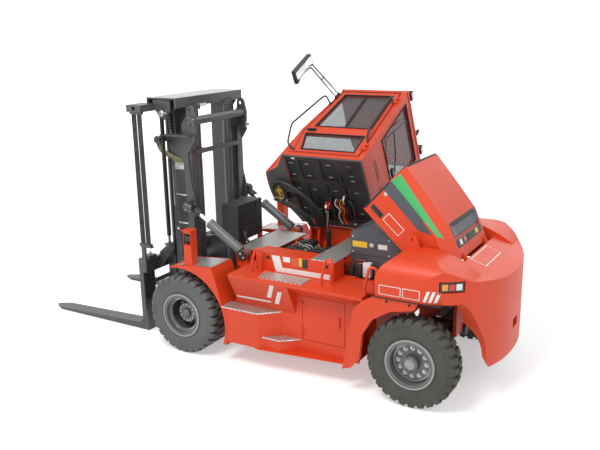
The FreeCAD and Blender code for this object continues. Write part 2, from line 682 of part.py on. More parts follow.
def weight_plan(z0, z1, front):
    """The counterweight seen from above: straight sides that run into a round tail."""
    left = [(TAIL_START, DECK_HALF), (-3360, 1178), (-3488, 1125), (-3642, 1003), (-3772, 800), (-3853, 610),
            (-3915, 400)]
    right = [(x, -y) for x, y in reversed(left)]
    tail = smooth([Vector(x, y, z0) for x, y in left + [(WEIGHT_REAR, 0)] + right])
    face = spline_face(tail, Vector(front, -DECK_HALF, z0), Vector(front, DECK_HALF, z0))
    return face.extrude(Vector(0, 0, z1 - z0))


def weight_upper():
    """The upper casting, with the battery notch, the lifting lugs and the hood's hinge lugs."""
    ridge = smooth([Vector(x, 0, z) for x, z in
                    ((WEIGHT_FRONT, 1480), (-2760, 1570), (-2840, 1645), (-2960, 1690), (-3100, WEIGHT_CROWN),
                     (-3250, 1696), (-3420, 1645), (-3600, 1562), (-3720, LEDGE_MIDDLE))])
    crown = spline_face(ridge, Vector(WEIGHT_REAR - 10, 0, LEDGE_REAR), Vector(WEIGHT_REAR - 10, 0,
                                                                               WEIGHT_JOINT),
                        Vector(WEIGHT_FRONT, 0, WEIGHT_JOINT)).extrude(Vector(0, 2 * DECK_HALF + 20, 0))
    crown.translate(Vector(0, -DECK_HALF - 10, 0))
    side_left = Part.Arc(Vector(0, DECK_HALF, 1470), Vector(0, 1150, 1600), Vector(0, 1020, 1668)).toShape()
    side_right = Part.Arc(Vector(0, -1020, 1668), Vector(0, -1150, 1600),
                          Vector(0, -DECK_HALF, 1470)).toShape()
    top = Part.Arc(Vector(0, 1020, 1668), Vector(0, 0, WEIGHT_CROWN + 40), Vector(0, -1020, 1668)).toShape()
    corners = [Vector(0, -DECK_HALF, 1470), Vector(0, -DECK_HALF, WEIGHT_JOINT),
               Vector(0, DECK_HALF, WEIGHT_JOINT),
               Vector(0, DECK_HALF, 1470)]
    straight = [Part.LineSegment(a, b).toShape() for a, b in zip(corners, corners[1:])]
    dome = Part.Face(Part.Wire([side_left, top, side_right] + straight)).extrude(Vector(WEIGHT_REAR - 20,
                                                                                        0, 0))
    solid = weight_plan(WEIGHT_JOINT, WEIGHT_CROWN + 60, WEIGHT_FRONT).common(crown).common(dome)
    lug = side_plate([(-3060, 1640), (-2850, 1610), (-2900, 1835), (-3000, 1835)], EYE_Y - 20, EYE_Y + 20)
    lug = lug.cut(pin_y(EYE_X, EYE_Z, EYE_Y - 30, EYE_Y + 30, EYE_RADIUS))
    notch = block(NOTCH_REAR, WEIGHT_FRONT + 50, -NOTCH_HALF, NOTCH_HALF, NOTCH_FLOOR, WEIGHT_CROWN + 50)
    over_ledge = side_plate([(NOTCH_REAR + 10, LEDGE_FRONT), (-3720, LEDGE_MIDDLE),
                             (WEIGHT_REAR - 20, LEDGE_REAR),
                             (WEIGHT_REAR - 20, 1900), (NOTCH_REAR + 10, 1900)], -NOTCH_HALF, NOTCH_HALF)
    hinges = []
    for y in HOOD_HINGES:
        for low in (y - HOOD_EAR - FORK_GAP - 14, y + HOOD_EAR + FORK_GAP):
            hinges.append(side_plate([(NOTCH_REAR - 20, HOOD_HINGE_Z - 90),
                                      (NOTCH_REAR - 20, HOOD_HINGE_Z - 30),
                                      (HOOD_HINGE_X - 8, HOOD_HINGE_Z + 18), (HOOD_HINGE_X + 16,
                                                                              HOOD_HINGE_Z + 8),
                                      (HOOD_HINGE_X + 16, HOOD_HINGE_Z - 14)], low, low + 14))
        hinges.append(pin_y(HOOD_HINGE_X, HOOD_HINGE_Z, y - 28, y + 28, HOOD_PIN))
    recess = tail_lamp_box(LAMP_HALF + 12, -30, 80, LAMP_LOW - 10, LAMP_TOP + 10)
    solid = solid.cut(notch).cut(over_ledge).cut(recess).cut(mirrored(recess))
    return join(solid, lug, mirrored(lug), *hinges)


def swing_room():
    """The space that the left rear wheel sweeps as it steers round its kingpin, with a little to spare."""
    reach = REAR_TYRE_FACE - KINGPIN_Y
    spare = 10.0
    low = WEIGHT_BOTTOM - 20
    steps = 12
    edge = [Vector(-WHEELBASE, KINGPIN_Y, low)]
    for step in range(steps + 1):
        z = low + (2 * TYRE_RADIUS - low) * step / steps
        half_chord = math.sqrt(max(0.0, TYRE_RADIUS ** 2 - (z - TYRE_RADIUS) ** 2))
        edge.append(Vector(-WHEELBASE - math.hypot(half_chord, reach) - spare, KINGPIN_Y, z))
    edge.append(Vector(-WHEELBASE - reach - spare, KINGPIN_Y, 2 * TYRE_RADIUS + spare))
    edge.append(Vector(-WHEELBASE, KINGPIN_Y, 2 * TYRE_RADIUS + spare))
    return polygon(edge).revolve(Vector(-WHEELBASE, KINGPIN_Y, 0), Vector(0, 0, 1), 360)


def weight_lower():
    """The lower casting: the round tail, arched on both sides to clear the wheels, with the tow slot."""
    top = WEIGHT_JOINT - SEAT_CLEARANCE
    arch = [(1010, 1260), (885, 1095), (790, 905), (710, 741), (675, 531), (652, WEIGHT_BOTTOM - 5)]
    left = smooth([Vector(-4200, y, z) for y, z in arch])
    right = smooth([Vector(-4200, -y, z) for y, z in reversed(arch)])
    bottom = Part.LineSegment(left.Vertexes[-1].Point, right.Vertexes[0].Point).toShape()
    lid = Part.LineSegment(right.Vertexes[-1].Point, left.Vertexes[0].Point).toShape()
    arched = Part.Face(Part.Wire([left, bottom, right, lid])).extrude(Vector(1000, 0, 0))
    depth = side_plate([(-3560, top + 20), (-3600, 1000), (-3660, 780), (-3850, WEIGHT_BOTTOM - 10),
                        (-4200, WEIGHT_BOTTOM - 10), (-4200, top + 20)], -DECK_HALF, DECK_HALF)
    tail = weight_plan(WEIGHT_BOTTOM, top, -3400).common(arched).common(depth)
    core = block(-3760, -3560, -NOTCH_HALF, NOTCH_HALF, REAR_BEAM_BOTTOM, top)
    slot = block(WEIGHT_REAR - 50, WEIGHT_REAR + TOW_SLOT_DEPTH + 60, -90, 90,
                 TOW_SLOT_Z - TOW_SLOT_HEIGHT / 2,
                 TOW_SLOT_Z + TOW_SLOT_HEIGHT / 2)
    hole = bar(Vector(TOW_PIN_X, 0, TOW_PIN_LOW), Vector(TOW_PIN_X, 0, TOW_PIN_TOP),
               TOW_PIN_RADIUS + RUNNING_CLEARANCE)
    room = swing_room()
    return join(tail, core).cut(slot).cut(hole).cut(room).cut(mirrored(room))


save("counterweight", weight_upper(), weight_lower())
save("battery_pack", side_plate([(BATTERY_FRONT, NOTCH_FLOOR), (BATTERY_FRONT, 1719), (-2270, 1790),
                                 (-2330, 1785),
                                 (-2700, 1735), (-3060, 1675), (-3060, NOTCH_FLOOR)], -450, 450))
save("tow_pin", bar(Vector(TOW_PIN_X, 0, TOW_PIN_LOW), Vector(TOW_PIN_X, 0, TOW_PIN_TOP), TOW_PIN_RADIUS))


def lamp_post():
    half = LAMP_POST_WIDTH / 2
    foot = 1195.0
    post = block(LAMP_POST_X - half, LAMP_POST_X + half, LAMP_POST_Y - half, LAMP_POST_Y + half,
                 foot, LAMP_POST_TOP - 12)
    front = block(LAMP_POST_X - half + 6, LAMP_POST_X + half + 1, LAMP_POST_Y - half + 6,
                  LAMP_POST_Y + half - 6,
                  LAMP_POST_TOP - 190, LAMP_POST_TOP - 40)
    side = block(LAMP_POST_X - half + 6, LAMP_POST_X + half - 6, LAMP_POST_Y, LAMP_POST_Y + half + 1,
                 LAMP_POST_TOP - 190, LAMP_POST_TOP - 40)
    cap = block(LAMP_POST_X - half - 8, LAMP_POST_X + half + 22, LAMP_POST_Y - half - 8,
                LAMP_POST_Y + half + 8,
                LAMP_POST_TOP - 12, LAMP_POST_TOP)
    lamp = bar(Vector(LAMP_POST_X - half + 6, LAMP_POST_Y, LAMP_POST_TOP - 115),
               Vector(LAMP_POST_X + 62, LAMP_POST_Y, LAMP_POST_TOP - 115), 50)
    return join(post.cut(front).cut(side), cap), lamp


def hand_rail(x, y, z, length, height):
    """A bent grab bar that stands on the deck, bulging towards the rear and the side."""
    return bent_tube([Vector(x, y, z), Vector(x, y, z + 0.35 * height), Vector(x - 30, y - 40, z + height),
                      Vector(x - 30 - length, y - 60, z + height), Vector(x - length, y - 60,
                                                                          z + 0.35 * height),
                      Vector(x - length, y - 60, z)], RAIL_RADIUS, 40)


post, lamp = lamp_post()
save_both("fenders", join(fender(), post))
save_both("lamps", tail_lamp_box(LAMP_HALF, -30 + SEAT_CLEARANCE, 0, LAMP_LOW, LAMP_TOP), lamp)
rails = [hand_rail(-2540, 1060, DECK_TOP, 90, 300), hand_rail(-1978, 1035, DECK_TOP, 90, 300),
         hand_rail(-980, 990, DECK_TOP, 80, 290)]
save_both("hand_rails", *rails)


def service_door():
    door = block(DOOR_REAR, DOOR_FRONT, WALL_Y - DOOR_THICKNESS, WALL_Y, DOOR_BOTTOM, DOOR_TOP)
    handle = block(DOOR_REAR + 60, DOOR_REAR + 85, WALL_Y, WALL_Y + 22, 700, 820)
    pieces = [door, handle]
    for z in SERVICE_HINGES:
        pieces.append(service_pin(z - 30, z + 30, SERVICE_KNUCKLE))
        pieces.append(block(SERVICE_HINGE_X - 45, SERVICE_HINGE_X, WALL_Y - 4, SERVICE_HINGE_Y - 3, z - 30,
                            z + 30))
    bores = [service_pin(z - 31, z + 31, SERVICE_PIN + RUNNING_CLEARANCE) for z in SERVICE_HINGES]
    return join(*pieces).cut(Part.makeCompound(bores))


save_pair("service_door", service_door())


def oil_cooler():
    case = block(-300, -40, -290, 290, 1302, 1800)
    grooves = [block(-301, -290, -270, 270, z, z + 14) for z in range(1340, 1780, 36)]
    return case.cut(Part.makeCompound(grooves))


def hydraulic_unit():
    motor = bar(Vector(-1560, 120, 800), Vector(-1180, 120, 800), 160)
    pump = bar(Vector(-1180, 120, 800), Vector(-980, 120, 800), 95)
    valve = block(-1150, -860, -420, -180, 860, 1120)
    rest = block(-1560, -860, -440, 320, FRAME_BOTTOM + PLATE, 660)
    column = block(-1100, -920, -400, -220, 660, 860)
    return join(motor, pump, rest, valve, column)


save("oil_cooler", oil_cooler())
save("hydraulic_unit", hydraulic_unit())


# ================================================================ outer mast
def channel(x0, x1, web_y0, web_y1, tip_y, z0, z1):
    web = block(x0, x1, web_y0, web_y1, z0, z1)
    rear = block(x0, x0 + RAIL_FLANGE, tip_y, web_y1, z0, z1)
    front = block(x1 - RAIL_FLANGE, x1, tip_y, web_y1, z0, z1)
    return join(web, rear, front)


def outer_rail():
    front = RAIL_REAR + RAIL_DEPTH
    rail = channel(RAIL_REAR, front, RAIL_OUTER_Y - RAIL_WEB, RAIL_OUTER_Y, RAIL_INNER_Y, OUTER_BOTTOM,
                   OUTER_TOP)
    pin_x, pin_z = TILT_PIN
    side = side_plate([(RAIL_REAR, 1500), (front - 40, 1500), (front - 30, 2420), (SHELF_FRONT, 2600),
                       (SHELF_FRONT, OUTER_TOP), (130, OUTER_TOP), (110, 2700), (235, 2510), (200, 2100),
                       (pin_x - 40, pin_z + 60), (pin_x - 60, pin_z - 70), (RAIL_REAR, 1640)],
                      RAIL_OUTER_Y, RAIL_OUTER_Y + MAST_PLATE)
    shelf = block(140, SHELF_FRONT, RAIL_OUTER_Y, SHELF_Y, OUTER_TOP - 24, OUTER_TOP)
    cheek_y = TILT_Y + TILT_EYE_HALF + FORK_GAP
    cheek = side_plate([(pin_x - 55, pin_z - 60), (pin_x + 60, pin_z - 70), (pin_x + 110, pin_z),
                        (pin_x + 75, pin_z + 70), (pin_x - 40, pin_z + 60)], cheek_y, cheek_y + 25)
    bridge = block(pin_x + 72, pin_x + 100, RAIL_OUTER_Y, cheek_y + 25, pin_z - 30, pin_z + 30)
    pin = pin_y(pin_x, pin_z, RAIL_OUTER_Y, cheek_y + 33, TILT_PIN_RADIUS)
    ear = side_plate([(130, OUTER_TOP - 60), (330, OUTER_TOP - 60), (330, 2900), (250, 3000), (240, 3110),
                      (205, 3140), (165, 3140), (130, 3110), (95, 2960), (95, 2840)],
                     RAIL_OUTER_Y - EAR_THICKNESS, RAIL_OUTER_Y)
    lift_eye = pin_y(194, 3073, RAIL_OUTER_Y - 60, RAIL_OUTER_Y + 10, 24)
    foot = side_plate([(-150, MAST_PIVOT_Z - 140), (RAIL_REAR + 5, MAST_PIVOT_Z - 200),
                       (RAIL_REAR + 5, MAST_PIVOT_Z + 320), (40, MAST_PIVOT_Z + 320), (-150,
                                                                                       MAST_PIVOT_Z + 140)],
                      RAIL_INNER_Y + 15, RAIL_OUTER_Y)
    chain_bolt = bar(Vector(CHAIN_TAIL_X + CHAIN_THICKNESS / 2, SHEAVE_Y, OUTER_TOP),
                     Vector(CHAIN_TAIL_X + CHAIN_THICKNESS / 2, SHEAVE_Y, CHAIN_ANCHOR_Z), 16)
    bearing = pin_y(0, MAST_PIVOT_Z, 0, RAIL_OUTER_Y + 1, AXLE_TUBE_RADIUS + RUNNING_CLEARANCE)
    return join(rail, side, shelf, cheek, bridge, pin, ear, foot, chain_bolt).cut(lift_eye).cut(bearing)


def mast_ties():
    """The cross tube at the ears, and the two beams that hold the lift cylinders."""
    ear_face = RAIL_OUTER_Y - EAR_THICKNESS - SEAT_CLEARANCE
    tube = pin_y(TIE_TUBE[0], TIE_TUBE[1], -ear_face, ear_face, TIE_TUBE_RADIUS)
    rear = LIFT_X - BARREL_RADIUS - 60
    beam_front = RAIL_REAR - SEAT_CLEARANCE
    beam_half = RAIL_INNER_Y + 40
    barrels = [bar(Vector(LIFT_X, y, OUTER_BOTTOM + 50), Vector(LIFT_X, y, LIFT_BARREL_TOP), BARREL_RADIUS)
               for y in (-LIFT_Y, LIFT_Y)]
    ties = [tube]
    for low, high, seat_front in ((OUTER_BOTTOM + 10, OUTER_BOTTOM + 50, LIFT_X + BARREL_RADIUS),
                                  (CLAMP_Z, CLAMP_Z + 60, LIFT_X - 20)):
        beam = block(rear, beam_front, -beam_half, beam_half, low, high)
        seats = [block(rear, seat_front, y - 50, y + 50, low, high) for y in (-LIFT_Y, LIFT_Y)]
        ties.append(join(beam, *seats).cut(Part.makeCompound(barrels)))
    return ties


def lift_barrel():
    bottom = Vector(LIFT_X, LIFT_Y, OUTER_BOTTOM + 50)
    top = Vector(LIFT_X, LIFT_Y, LIFT_BARREL_TOP)
    bore = bar(bottom + Vector(0, 0, 40), top + Vector(0, 0, 1), LIFT_BORE)
    return bar(bottom, top, BARREL_RADIUS).cut(bore)


save("outer_mast", outer_rail(), mirrored(outer_rail()), *mast_ties())
save_both("lift_barrels", lift_barrel())


# ================================================================ inner mast
def inner_rail():
    top = BEAM_TOP - BEAM_HEIGHT - SEAT_CLEARANCE
    web = block(INNER_REAR, INNER_FRONT, INNER_WEB_Y, INNER_WEB_Y + INNER_WEB, INNER_BOTTOM, top)
    rear = block(INNER_REAR, INNER_REAR + RAIL_FLANGE, INNER_WEB_Y, INNER_TIP_Y, INNER_BOTTOM, top - 130)
    middle = block(INNER_MIDDLE - RAIL_FLANGE, INNER_MIDDLE, INNER_WEB_Y, INNER_TIP_Y, INNER_BOTTOM, top)
    front = block(INNER_FRONT - RAIL_FLANGE, INNER_FRONT, INNER_WEB_Y, 560, INNER_BOTTOM, top)
    return join(web, rear, middle, front)


def mast_head():
    """The top beam with the sheaves, and the lift rods that push it up."""
    under_beam = BEAM_TOP - BEAM_HEIGHT
    leg = side_plate([(BEAM_REAR, under_beam), (720, under_beam), (BEAM_REAR + BEAM_DEPTH, BEAM_TOP - 10),
                      (BEAM_REAR, BEAM_TOP - 10)], INNER_WEB_Y, INNER_WEB_Y + INNER_WEB)
    cheeks = []
    for y in (SHEAVE_Y - CHEEK_OFFSET - CHEEK, SHEAVE_Y + CHEEK_OFFSET):
        cheeks.append(side_plate([(SHEAVE_X - 130, BEAM_TOP - 30), (SHEAVE_X - 130, SHEAVE_Z + 40),
                                  (SHEAVE_X - 50, SHEAVE_Z - 60), (SHEAVE_X + 50, SHEAVE_Z - 60),
                                  (SHEAVE_X + 150, BEAM_TOP - 120), (SHEAVE_X + 150,
                                                                     BEAM_TOP - 30)], y, y + CHEEK))
    pin = pin_y(SHEAVE_X, SHEAVE_Z, SHEAVE_Y - 60, SHEAVE_Y + CHEEK_OFFSET + CHEEK + 12, 32)
    rod_cap = block(LIFT_X - 50, LIFT_X + 50, LIFT_Y - 50, INNER_WEB_Y + 2, under_beam, under_beam + 60)
    half = join(leg, *cheeks, pin, rod_cap, lift_rod(), sheave())
    front = BEAM_REAR + BEAM_DEPTH
    top = block(BEAM_REAR, front, -BEAM_HALF, BEAM_HALF, BEAM_TOP - 20, BEAM_TOP)
    back = block(BEAM_REAR, BEAM_REAR + 25, -BEAM_HALF, BEAM_HALF, BEAM_TOP - 130, BEAM_TOP - 20)
    face = block(front - 20, front, -BEAM_HALF, BEAM_HALF, under_beam, BEAM_TOP - 20)
    box = block(*HOSE_BOX, BEAM_HALF - 5, HOSE_BOX_END, BEAM_TOP - 165, BEAM_TOP - 75)
    arm = block(front - 40, HOSE_BOX[1], BEAM_HALF - 40, BEAM_HALF, BEAM_TOP - 165, BEAM_TOP - 75)
    eye = pin_y((HOSE_BOX[0] + HOSE_BOX[1]) / 2, BEAM_TOP - 120, HOSE_BOX_END - 60, HOSE_BOX_END + 1, 28)
    return join(half, mirrored(half), top, back, face, box, arm).cut(eye)


def lift_rod():
    return bar(Vector(LIFT_X, LIFT_Y, 320), Vector(LIFT_X, LIFT_Y, BEAM_TOP - BEAM_HEIGHT), LIFT_ROD_RADIUS)


def sheave():
    return turned([(0, -34), (SHEAVE_RADIUS, -34), (SHEAVE_RADIUS, -24), (SHEAVE_RADIUS - CHAIN_THICKNESS,
                                                                          -24),
                   (SHEAVE_RADIUS - CHAIN_THICKNESS, 24), (SHEAVE_RADIUS, 24), (SHEAVE_RADIUS, 34), (0, 34)],
                  SHEAVE_X, SHEAVE_Y, SHEAVE_Z)


def chain_strand():
    x = SHEAVE_X + SHEAVE_RADIUS - CHAIN_THICKNESS + SEAT_CLEARANCE
    return block(x, x + CHAIN_THICKNESS, SHEAVE_Y - CHAIN_WIDTH / 2, SHEAVE_Y + CHAIN_WIDTH / 2,
                 CHAIN_END_Z, SHEAVE_Z)


def chain_loop():
    inner = SHEAVE_RADIUS - CHAIN_THICKNESS + SEAT_CLEARANCE
    ring = pin_y(SHEAVE_X, SHEAVE_Z, SHEAVE_Y - CHAIN_WIDTH / 2, SHEAVE_Y + CHAIN_WIDTH / 2,
                 inner + CHAIN_THICKNESS)
    ring = ring.cut(pin_y(SHEAVE_X, SHEAVE_Z, SHEAVE_Y - CHAIN_WIDTH, SHEAVE_Y + CHAIN_WIDTH, inner))
    return ring.cut(block(SHEAVE_X - 200, SHEAVE_X + 200, SHEAVE_Y - 50, SHEAVE_Y + 50, SHEAVE_Z - 200,
                          SHEAVE_Z))


def chain_tail():
    return block(CHAIN_TAIL_X, CHAIN_TAIL_X + CHAIN_THICKNESS, SHEAVE_Y - CHAIN_WIDTH / 2,
                 SHEAVE_Y + CHAIN_WIDTH / 2, CHAIN_ANCHOR_Z + SEAT_CLEARANCE, SHEAVE_Z)


def carriage_hoses():
    hoses = []
    for index in range(4):
        x = 690 + 34 * index
        top = BEAM_TOP - 165 - SEAT_CLEARANCE
        hoses.append(bent_tube([Vector(x + 35, 955, top), Vector(x + 35, 955, top - 120),
                                Vector(x - 15, 955, 1420), Vector(x - 15, 955, HOSE_FOOT_Z)], 13, 300))
    return hoses


save("inner_mast", inner_rail(), mirrored(inner_rail()), mast_head())
save_both("chain_strands", chain_strand())
save_both("chain_loops", chain_loop())
save_both("chain_tails", chain_tail())
save("carriage_hoses", *carriage_hoses())


# ================================================================ carriage and forks
def carriage():
    back = BAR_FRONT - BAR_DEPTH
    clear_x = back - 25
    clear_z = UPPER_BAR[1] - HOOK_CLEAR
    bars = [block(back, BAR_FRONT, -BAR_HALF, BAR_HALF, low, high) for low, high in (UPPER_BAR, LOWER_BAR)]
    plate = side_plate([(LIFT_X + BARREL_RADIUS + 10, 230), (back, 260), (back, clear_z), (clear_x, clear_z),
                        (clear_x, 1080), (600, 1120), (LIFT_X + BARREL_RADIUS + 10, 1120)],
                       CARRIAGE_Y, CARRIAGE_Y + CARRIAGE_PLATE)
    end = block(back, BAR_FRONT, BAR_HALF - 30, BAR_HALF, LOWER_BAR[0], UPPER_BAR[1])
    eye_x = SHEAVE_X + SHEAVE_RADIUS - CHAIN_THICKNESS / 2
    arm_rear = SHELF_FRONT + 7
    seat_x = back - SEAT_CLEARANCE
    anchor = side_plate([(arm_rear, 1250), (640, 1250), (clear_x, 1110), (clear_x, clear_z),
                         (seat_x, clear_z),
                         (seat_x, 870), (620, 1090), (arm_rear, 1180)], SHEAVE_Y - 72, SHEAVE_Y - 44)
    shelf = block(arm_rear, 640, SHEAVE_Y - 72, SHEAVE_Y + 40, 1250, 1274)
    bolt = bar(Vector(eye_x, SHEAVE_Y, 1274), Vector(eye_x, SHEAVE_Y, CHAIN_END_Z - SEAT_CLEARANCE), 16)
    anchor = join(anchor, shelf, bolt)
    half = join(plate, end)
    hose_arm = join(block(640, seat_x, 930, 980, 1270, 1290), block(back - 60, seat_x, 930, 960, 900, 1270))
    cross = block(back - 28, back, -CARRIAGE_Y, CARRIAGE_Y, 560, 760)
    positioner = pin_y(BAR_FRONT - 32, 700, -CARRIAGE_Y - 300, CARRIAGE_Y + 300, 30)
    saddle = block(back - 5, BAR_FRONT - 32, CARRIAGE_Y, CARRIAGE_Y + CARRIAGE_PLATE, 675, 725)
    body = join(*bars, half, mirrored(half), cross, positioner, saddle, mirrored(saddle))
    return [body, anchor, mirrored(anchor), hose_arm]


def fork():
    y0 = FORK_CENTRE_Y - FORK_WIDTH / 2
    y1 = y0 + FORK_WIDTH
    shank_back = BAR_FRONT + SEAT_CLEARANCE
    shank_front = shank_back + SHANK_DEPTH
    outline = [(shank_back, 2), (FORK_TIP, 2), (FORK_TIP, BLADE_TIP), (shank_front + 60, BLADE_HEEL),
               (shank_front, BLADE_HEEL + 60), (shank_front, SHANK_TOP), (shank_back, SHANK_TOP)]
    body = side_plate(outline, y0, y1)
    hook_front = BAR_FRONT - BAR_DEPTH - FORK_GAP
    hook_seat = UPPER_BAR[1] + SEAT_CLEARANCE
    top_hook = side_plate([(shank_back + 30, SHANK_TOP - 60), (shank_back + 30, hook_seat + 50),
                           (820, hook_seat + 50),
                           (820, UPPER_BAR[1] - 30), (hook_front, UPPER_BAR[1] - 30), (hook_front, hook_seat),
                           (shank_back, hook_seat), (shank_back, SHANK_TOP - 60)], y0 + 30, y1 - 30)
    tip = floor_plate([(shank_back - 200, y0), (FORK_TIP - 180, y0), (FORK_TIP - 30, y0 + 70),
                       (FORK_TIP, y0 + 100),
                       (FORK_TIP - 30, y0 + 130), (FORK_TIP - 180, y1), (shank_back - 200,
                                                                         y1)], -1, SHANK_TOP + 200)
    return join(body, top_hook).common(tip)


save("carriage", *carriage())
save_pair("fork", fork())


# ================================================================ tilt cylinders
TILT_RUN = Vector(TILT_PIN[0] - TILT_BASE[0], 0, TILT_PIN[1] - TILT_BASE[1])
TILT_LENGTH = TILT_RUN.Length


def along_tilt(distance):
    base = Vector(TILT_BASE[0], TILT_Y, TILT_BASE[1])
    return base + TILT_RUN * (distance / TILT_LENGTH)


def tilt_barrel():
    eye = pin_y(TILT_BASE[0], TILT_BASE[1], TILT_Y - TILT_EYE_HALF, TILT_Y + TILT_EYE_HALF, 52)
    neck = bar(along_tilt(20), along_tilt(90), TILT_EYE_HALF)
    tube = bar(along_tilt(80), along_tilt(610), BARREL_RADIUS)
    bore = bar(along_tilt(125), along_tilt(611), TILT_ROD_RADIUS + RUNNING_CLEARANCE)
    hole = pin_y(TILT_BASE[0], TILT_BASE[1], TILT_Y - 40, TILT_Y + 40, TILT_PIN_RADIUS + RUNNING_CLEARANCE)
    return join(eye, neck, tube).cut(bore).cut(hole)


def tilt_rod():
    rod = bar(along_tilt(330), along_tilt(TILT_LENGTH - 50), TILT_ROD_RADIUS)
    eye = pin_y(TILT_PIN[0], TILT_PIN[1], TILT_Y - TILT_EYE_HALF + FORK_GAP,
                TILT_Y + TILT_EYE_HALF - FORK_GAP, 62)
    hole = pin_y(TILT_PIN[0], TILT_PIN[1], TILT_Y - 40, TILT_Y + 40, TILT_EYE_HOLE)
    return join(rod, eye).cut(hole)


save_pair("tilt_barrel", tilt_barrel())
save_pair("tilt_rod", tilt_rod())


# ================================================================ cab
def nose_outline(front, side_front, left, right, scoop, z):
    """The nose in plan: a bulging front and a scooped corner on each side."""
    middle = (left + right) / 2
    left_corner = Vector(side_front, left, z)
    left_front = Vector(front, left - scoop, z)
    right_front = Vector(front, right + scoop, z)
    right_corner = Vector(side_front, right, z)
    dip = 0.30 * scoop
    edges = [Part.Arc(left_corner, Vector((front + side_front) / 2 - dip / 2, left - scoop / 2 - dip / 2, z),
                      left_front).toShape(),
             Part.Arc(left_front, Vector(front + 25, middle, z), right_front).toShape(),
             Part.Arc(right_front, Vector((front + side_front) / 2 - dip / 2, right + scoop / 2 + dip / 2, z),
                      right_corner).toShape(),
             Part.LineSegment(right_corner, left_corner).toShape()]
    return Part.Wire(edges)


def cab_nose():
    outer = Part.makeLoft([nose_outline(CAB_NOSE, CAB_SIDE_FRONT - 6, CAB_LEFT, CAB_RIGHT, 322, CAB_FLOOR),
                           nose_outline(-600, -812, CAB_LEFT, CAB_RIGHT, 200, CAB_WAIST)], True, True)
    inner = Part.makeLoft([nose_outline(CAB_NOSE - CAB_WALL, -900, CAB_LEFT - CAB_WALL,
                                        CAB_RIGHT + CAB_WALL, 322,
                                        CAB_FLOOR + CAB_FLOOR_THICKNESS),
                           nose_outline(-600 - CAB_WALL, -900, CAB_LEFT - CAB_WALL, CAB_RIGHT + CAB_WALL, 200,
                                        CAB_WAIST + 1)], True, True)
    return outer.cut(inner).cut(block(-1000, CAB_SIDE_FRONT - 6, CAB_RIGHT - 1, CAB_LEFT + 1, 1000, 2300))


def cab_frame():
    deck = CAB_FLOOR + CAB_FLOOR_THICKNESS
    pieces = [block(CAB_REAR, CAB_SIDE_FRONT - 6, CAB_RIGHT, CAB_LEFT, CAB_FLOOR, deck)]
    for y in (CAB_LEFT - CAB_PILLAR, CAB_RIGHT):
        slant = side_plate([(CAB_POST_FRONT - CAB_WALL, CAB_WAIST), (CAB_POST_FRONT, CAB_WAIST),
                            (CAB_ROOF_FRONT, CAB_ROOF), (CAB_ROOF_FRONT - CAB_WALL,
                                                         CAB_ROOF)], y, y + CAB_PILLAR)
        lower = block(CAB_POST_FRONT - CAB_WALL, CAB_SIDE_FRONT - 6, y, y + CAB_PILLAR, deck, CAB_WAIST)
        rear = block(CAB_REAR, CAB_REAR + CAB_PILLAR, y, y + CAB_PILLAR, deck, CAB_ROOF)
        rail = block(CAB_REAR, CAB_ROOF_FRONT - 10, y, y + CAB_PILLAR, CAB_ROOF - 60, CAB_ROOF)
        pieces += [slant, lower, rear, rail]
    pieces.append(block(CAB_ROOF_FRONT - 70, CAB_ROOF_FRONT, CAB_RIGHT, CAB_LEFT, CAB_ROOF - 60, CAB_ROOF))
    pieces.append(block(CAB_REAR, CAB_REAR + 60, CAB_RIGHT, CAB_LEFT, CAB_ROOF - 60, CAB_ROOF))
    bores = []
    for x in CAB_LUGS:
        start = Vector(x - CAB_LUG_HALF, CAB_HINGE_Y, CAB_HINGE_Z)
        end = Vector(x + CAB_LUG_HALF, CAB_HINGE_Y, CAB_HINGE_Z)
        pieces.append(bar(start, end, 42))
        pieces.append(cross_plate([(CAB_HINGE_Y - 20, CAB_HINGE_Z + 20), (CAB_HINGE_Y, CAB_FLOOR + 20),
                                   (CAB_HINGE_Y + 120, CAB_FLOOR + 20), (CAB_HINGE_Y + 30, CAB_HINGE_Z - 28)],
                                  x - CAB_LUG_HALF, x + CAB_LUG_HALF))
        bores.append(bar(start - Vector(5, 0, 0), end + Vector(5, 0, 0), CAB_HINGE_PIN + RUNNING_CLEARANCE))
    for z in DOOR_HINGES:
        for low in (z - 60 - SEAT_CLEARANCE, z + 30 + SEAT_CLEARANCE):
            pieces.append(block(CAB_REAR + 28, CAB_REAR + CAB_PILLAR - 2, CAB_LEFT, DOOR_HINGE_Y, low,
                                low + 30))
            pieces.append(block(CAB_REAR + 28, DOOR_HINGE_X + 6.5, DOOR_HINGE_Y - 10, DOOR_HINGE_Y + 10,
                                low, low + 30))
        pieces.append(bar(Vector(DOOR_HINGE_X, DOOR_HINGE_Y, z - 55), Vector(DOOR_HINGE_X, DOOR_HINGE_Y,
                                                                             z + 55),
                          DOOR_HINGE_PIN))
    arm_y = CAB_HINGE_Y + STRUT_ARM
    for x in (STRUT_X - 34, STRUT_X + 19):
        pieces.append(cross_plate([(arm_y - 60, CAB_FLOOR + 10), (arm_y + 60, CAB_FLOOR + 10),
                                   (arm_y + 20, CAB_HINGE_Z - 20), (arm_y - 20,
                                                                    CAB_HINGE_Z - 20)], x, x + 15))
    pieces.append(bar(Vector(STRUT_X - 34, arm_y, CAB_HINGE_Z), Vector(STRUT_X + 34, arm_y, CAB_HINGE_Z),
                      STRUT_PIN))
    return join(*pieces).cut(Part.makeCompound(bores))


def wall_x(x0, x1, y0, y1, z0, z1, window):
    wy0, wy1, wz0, wz1 = window
    return block(x0, x1, y0, y1, z0, z1).cut(block(x0 - 1, x1 + 1, wy0, wy1, wz0, wz1))


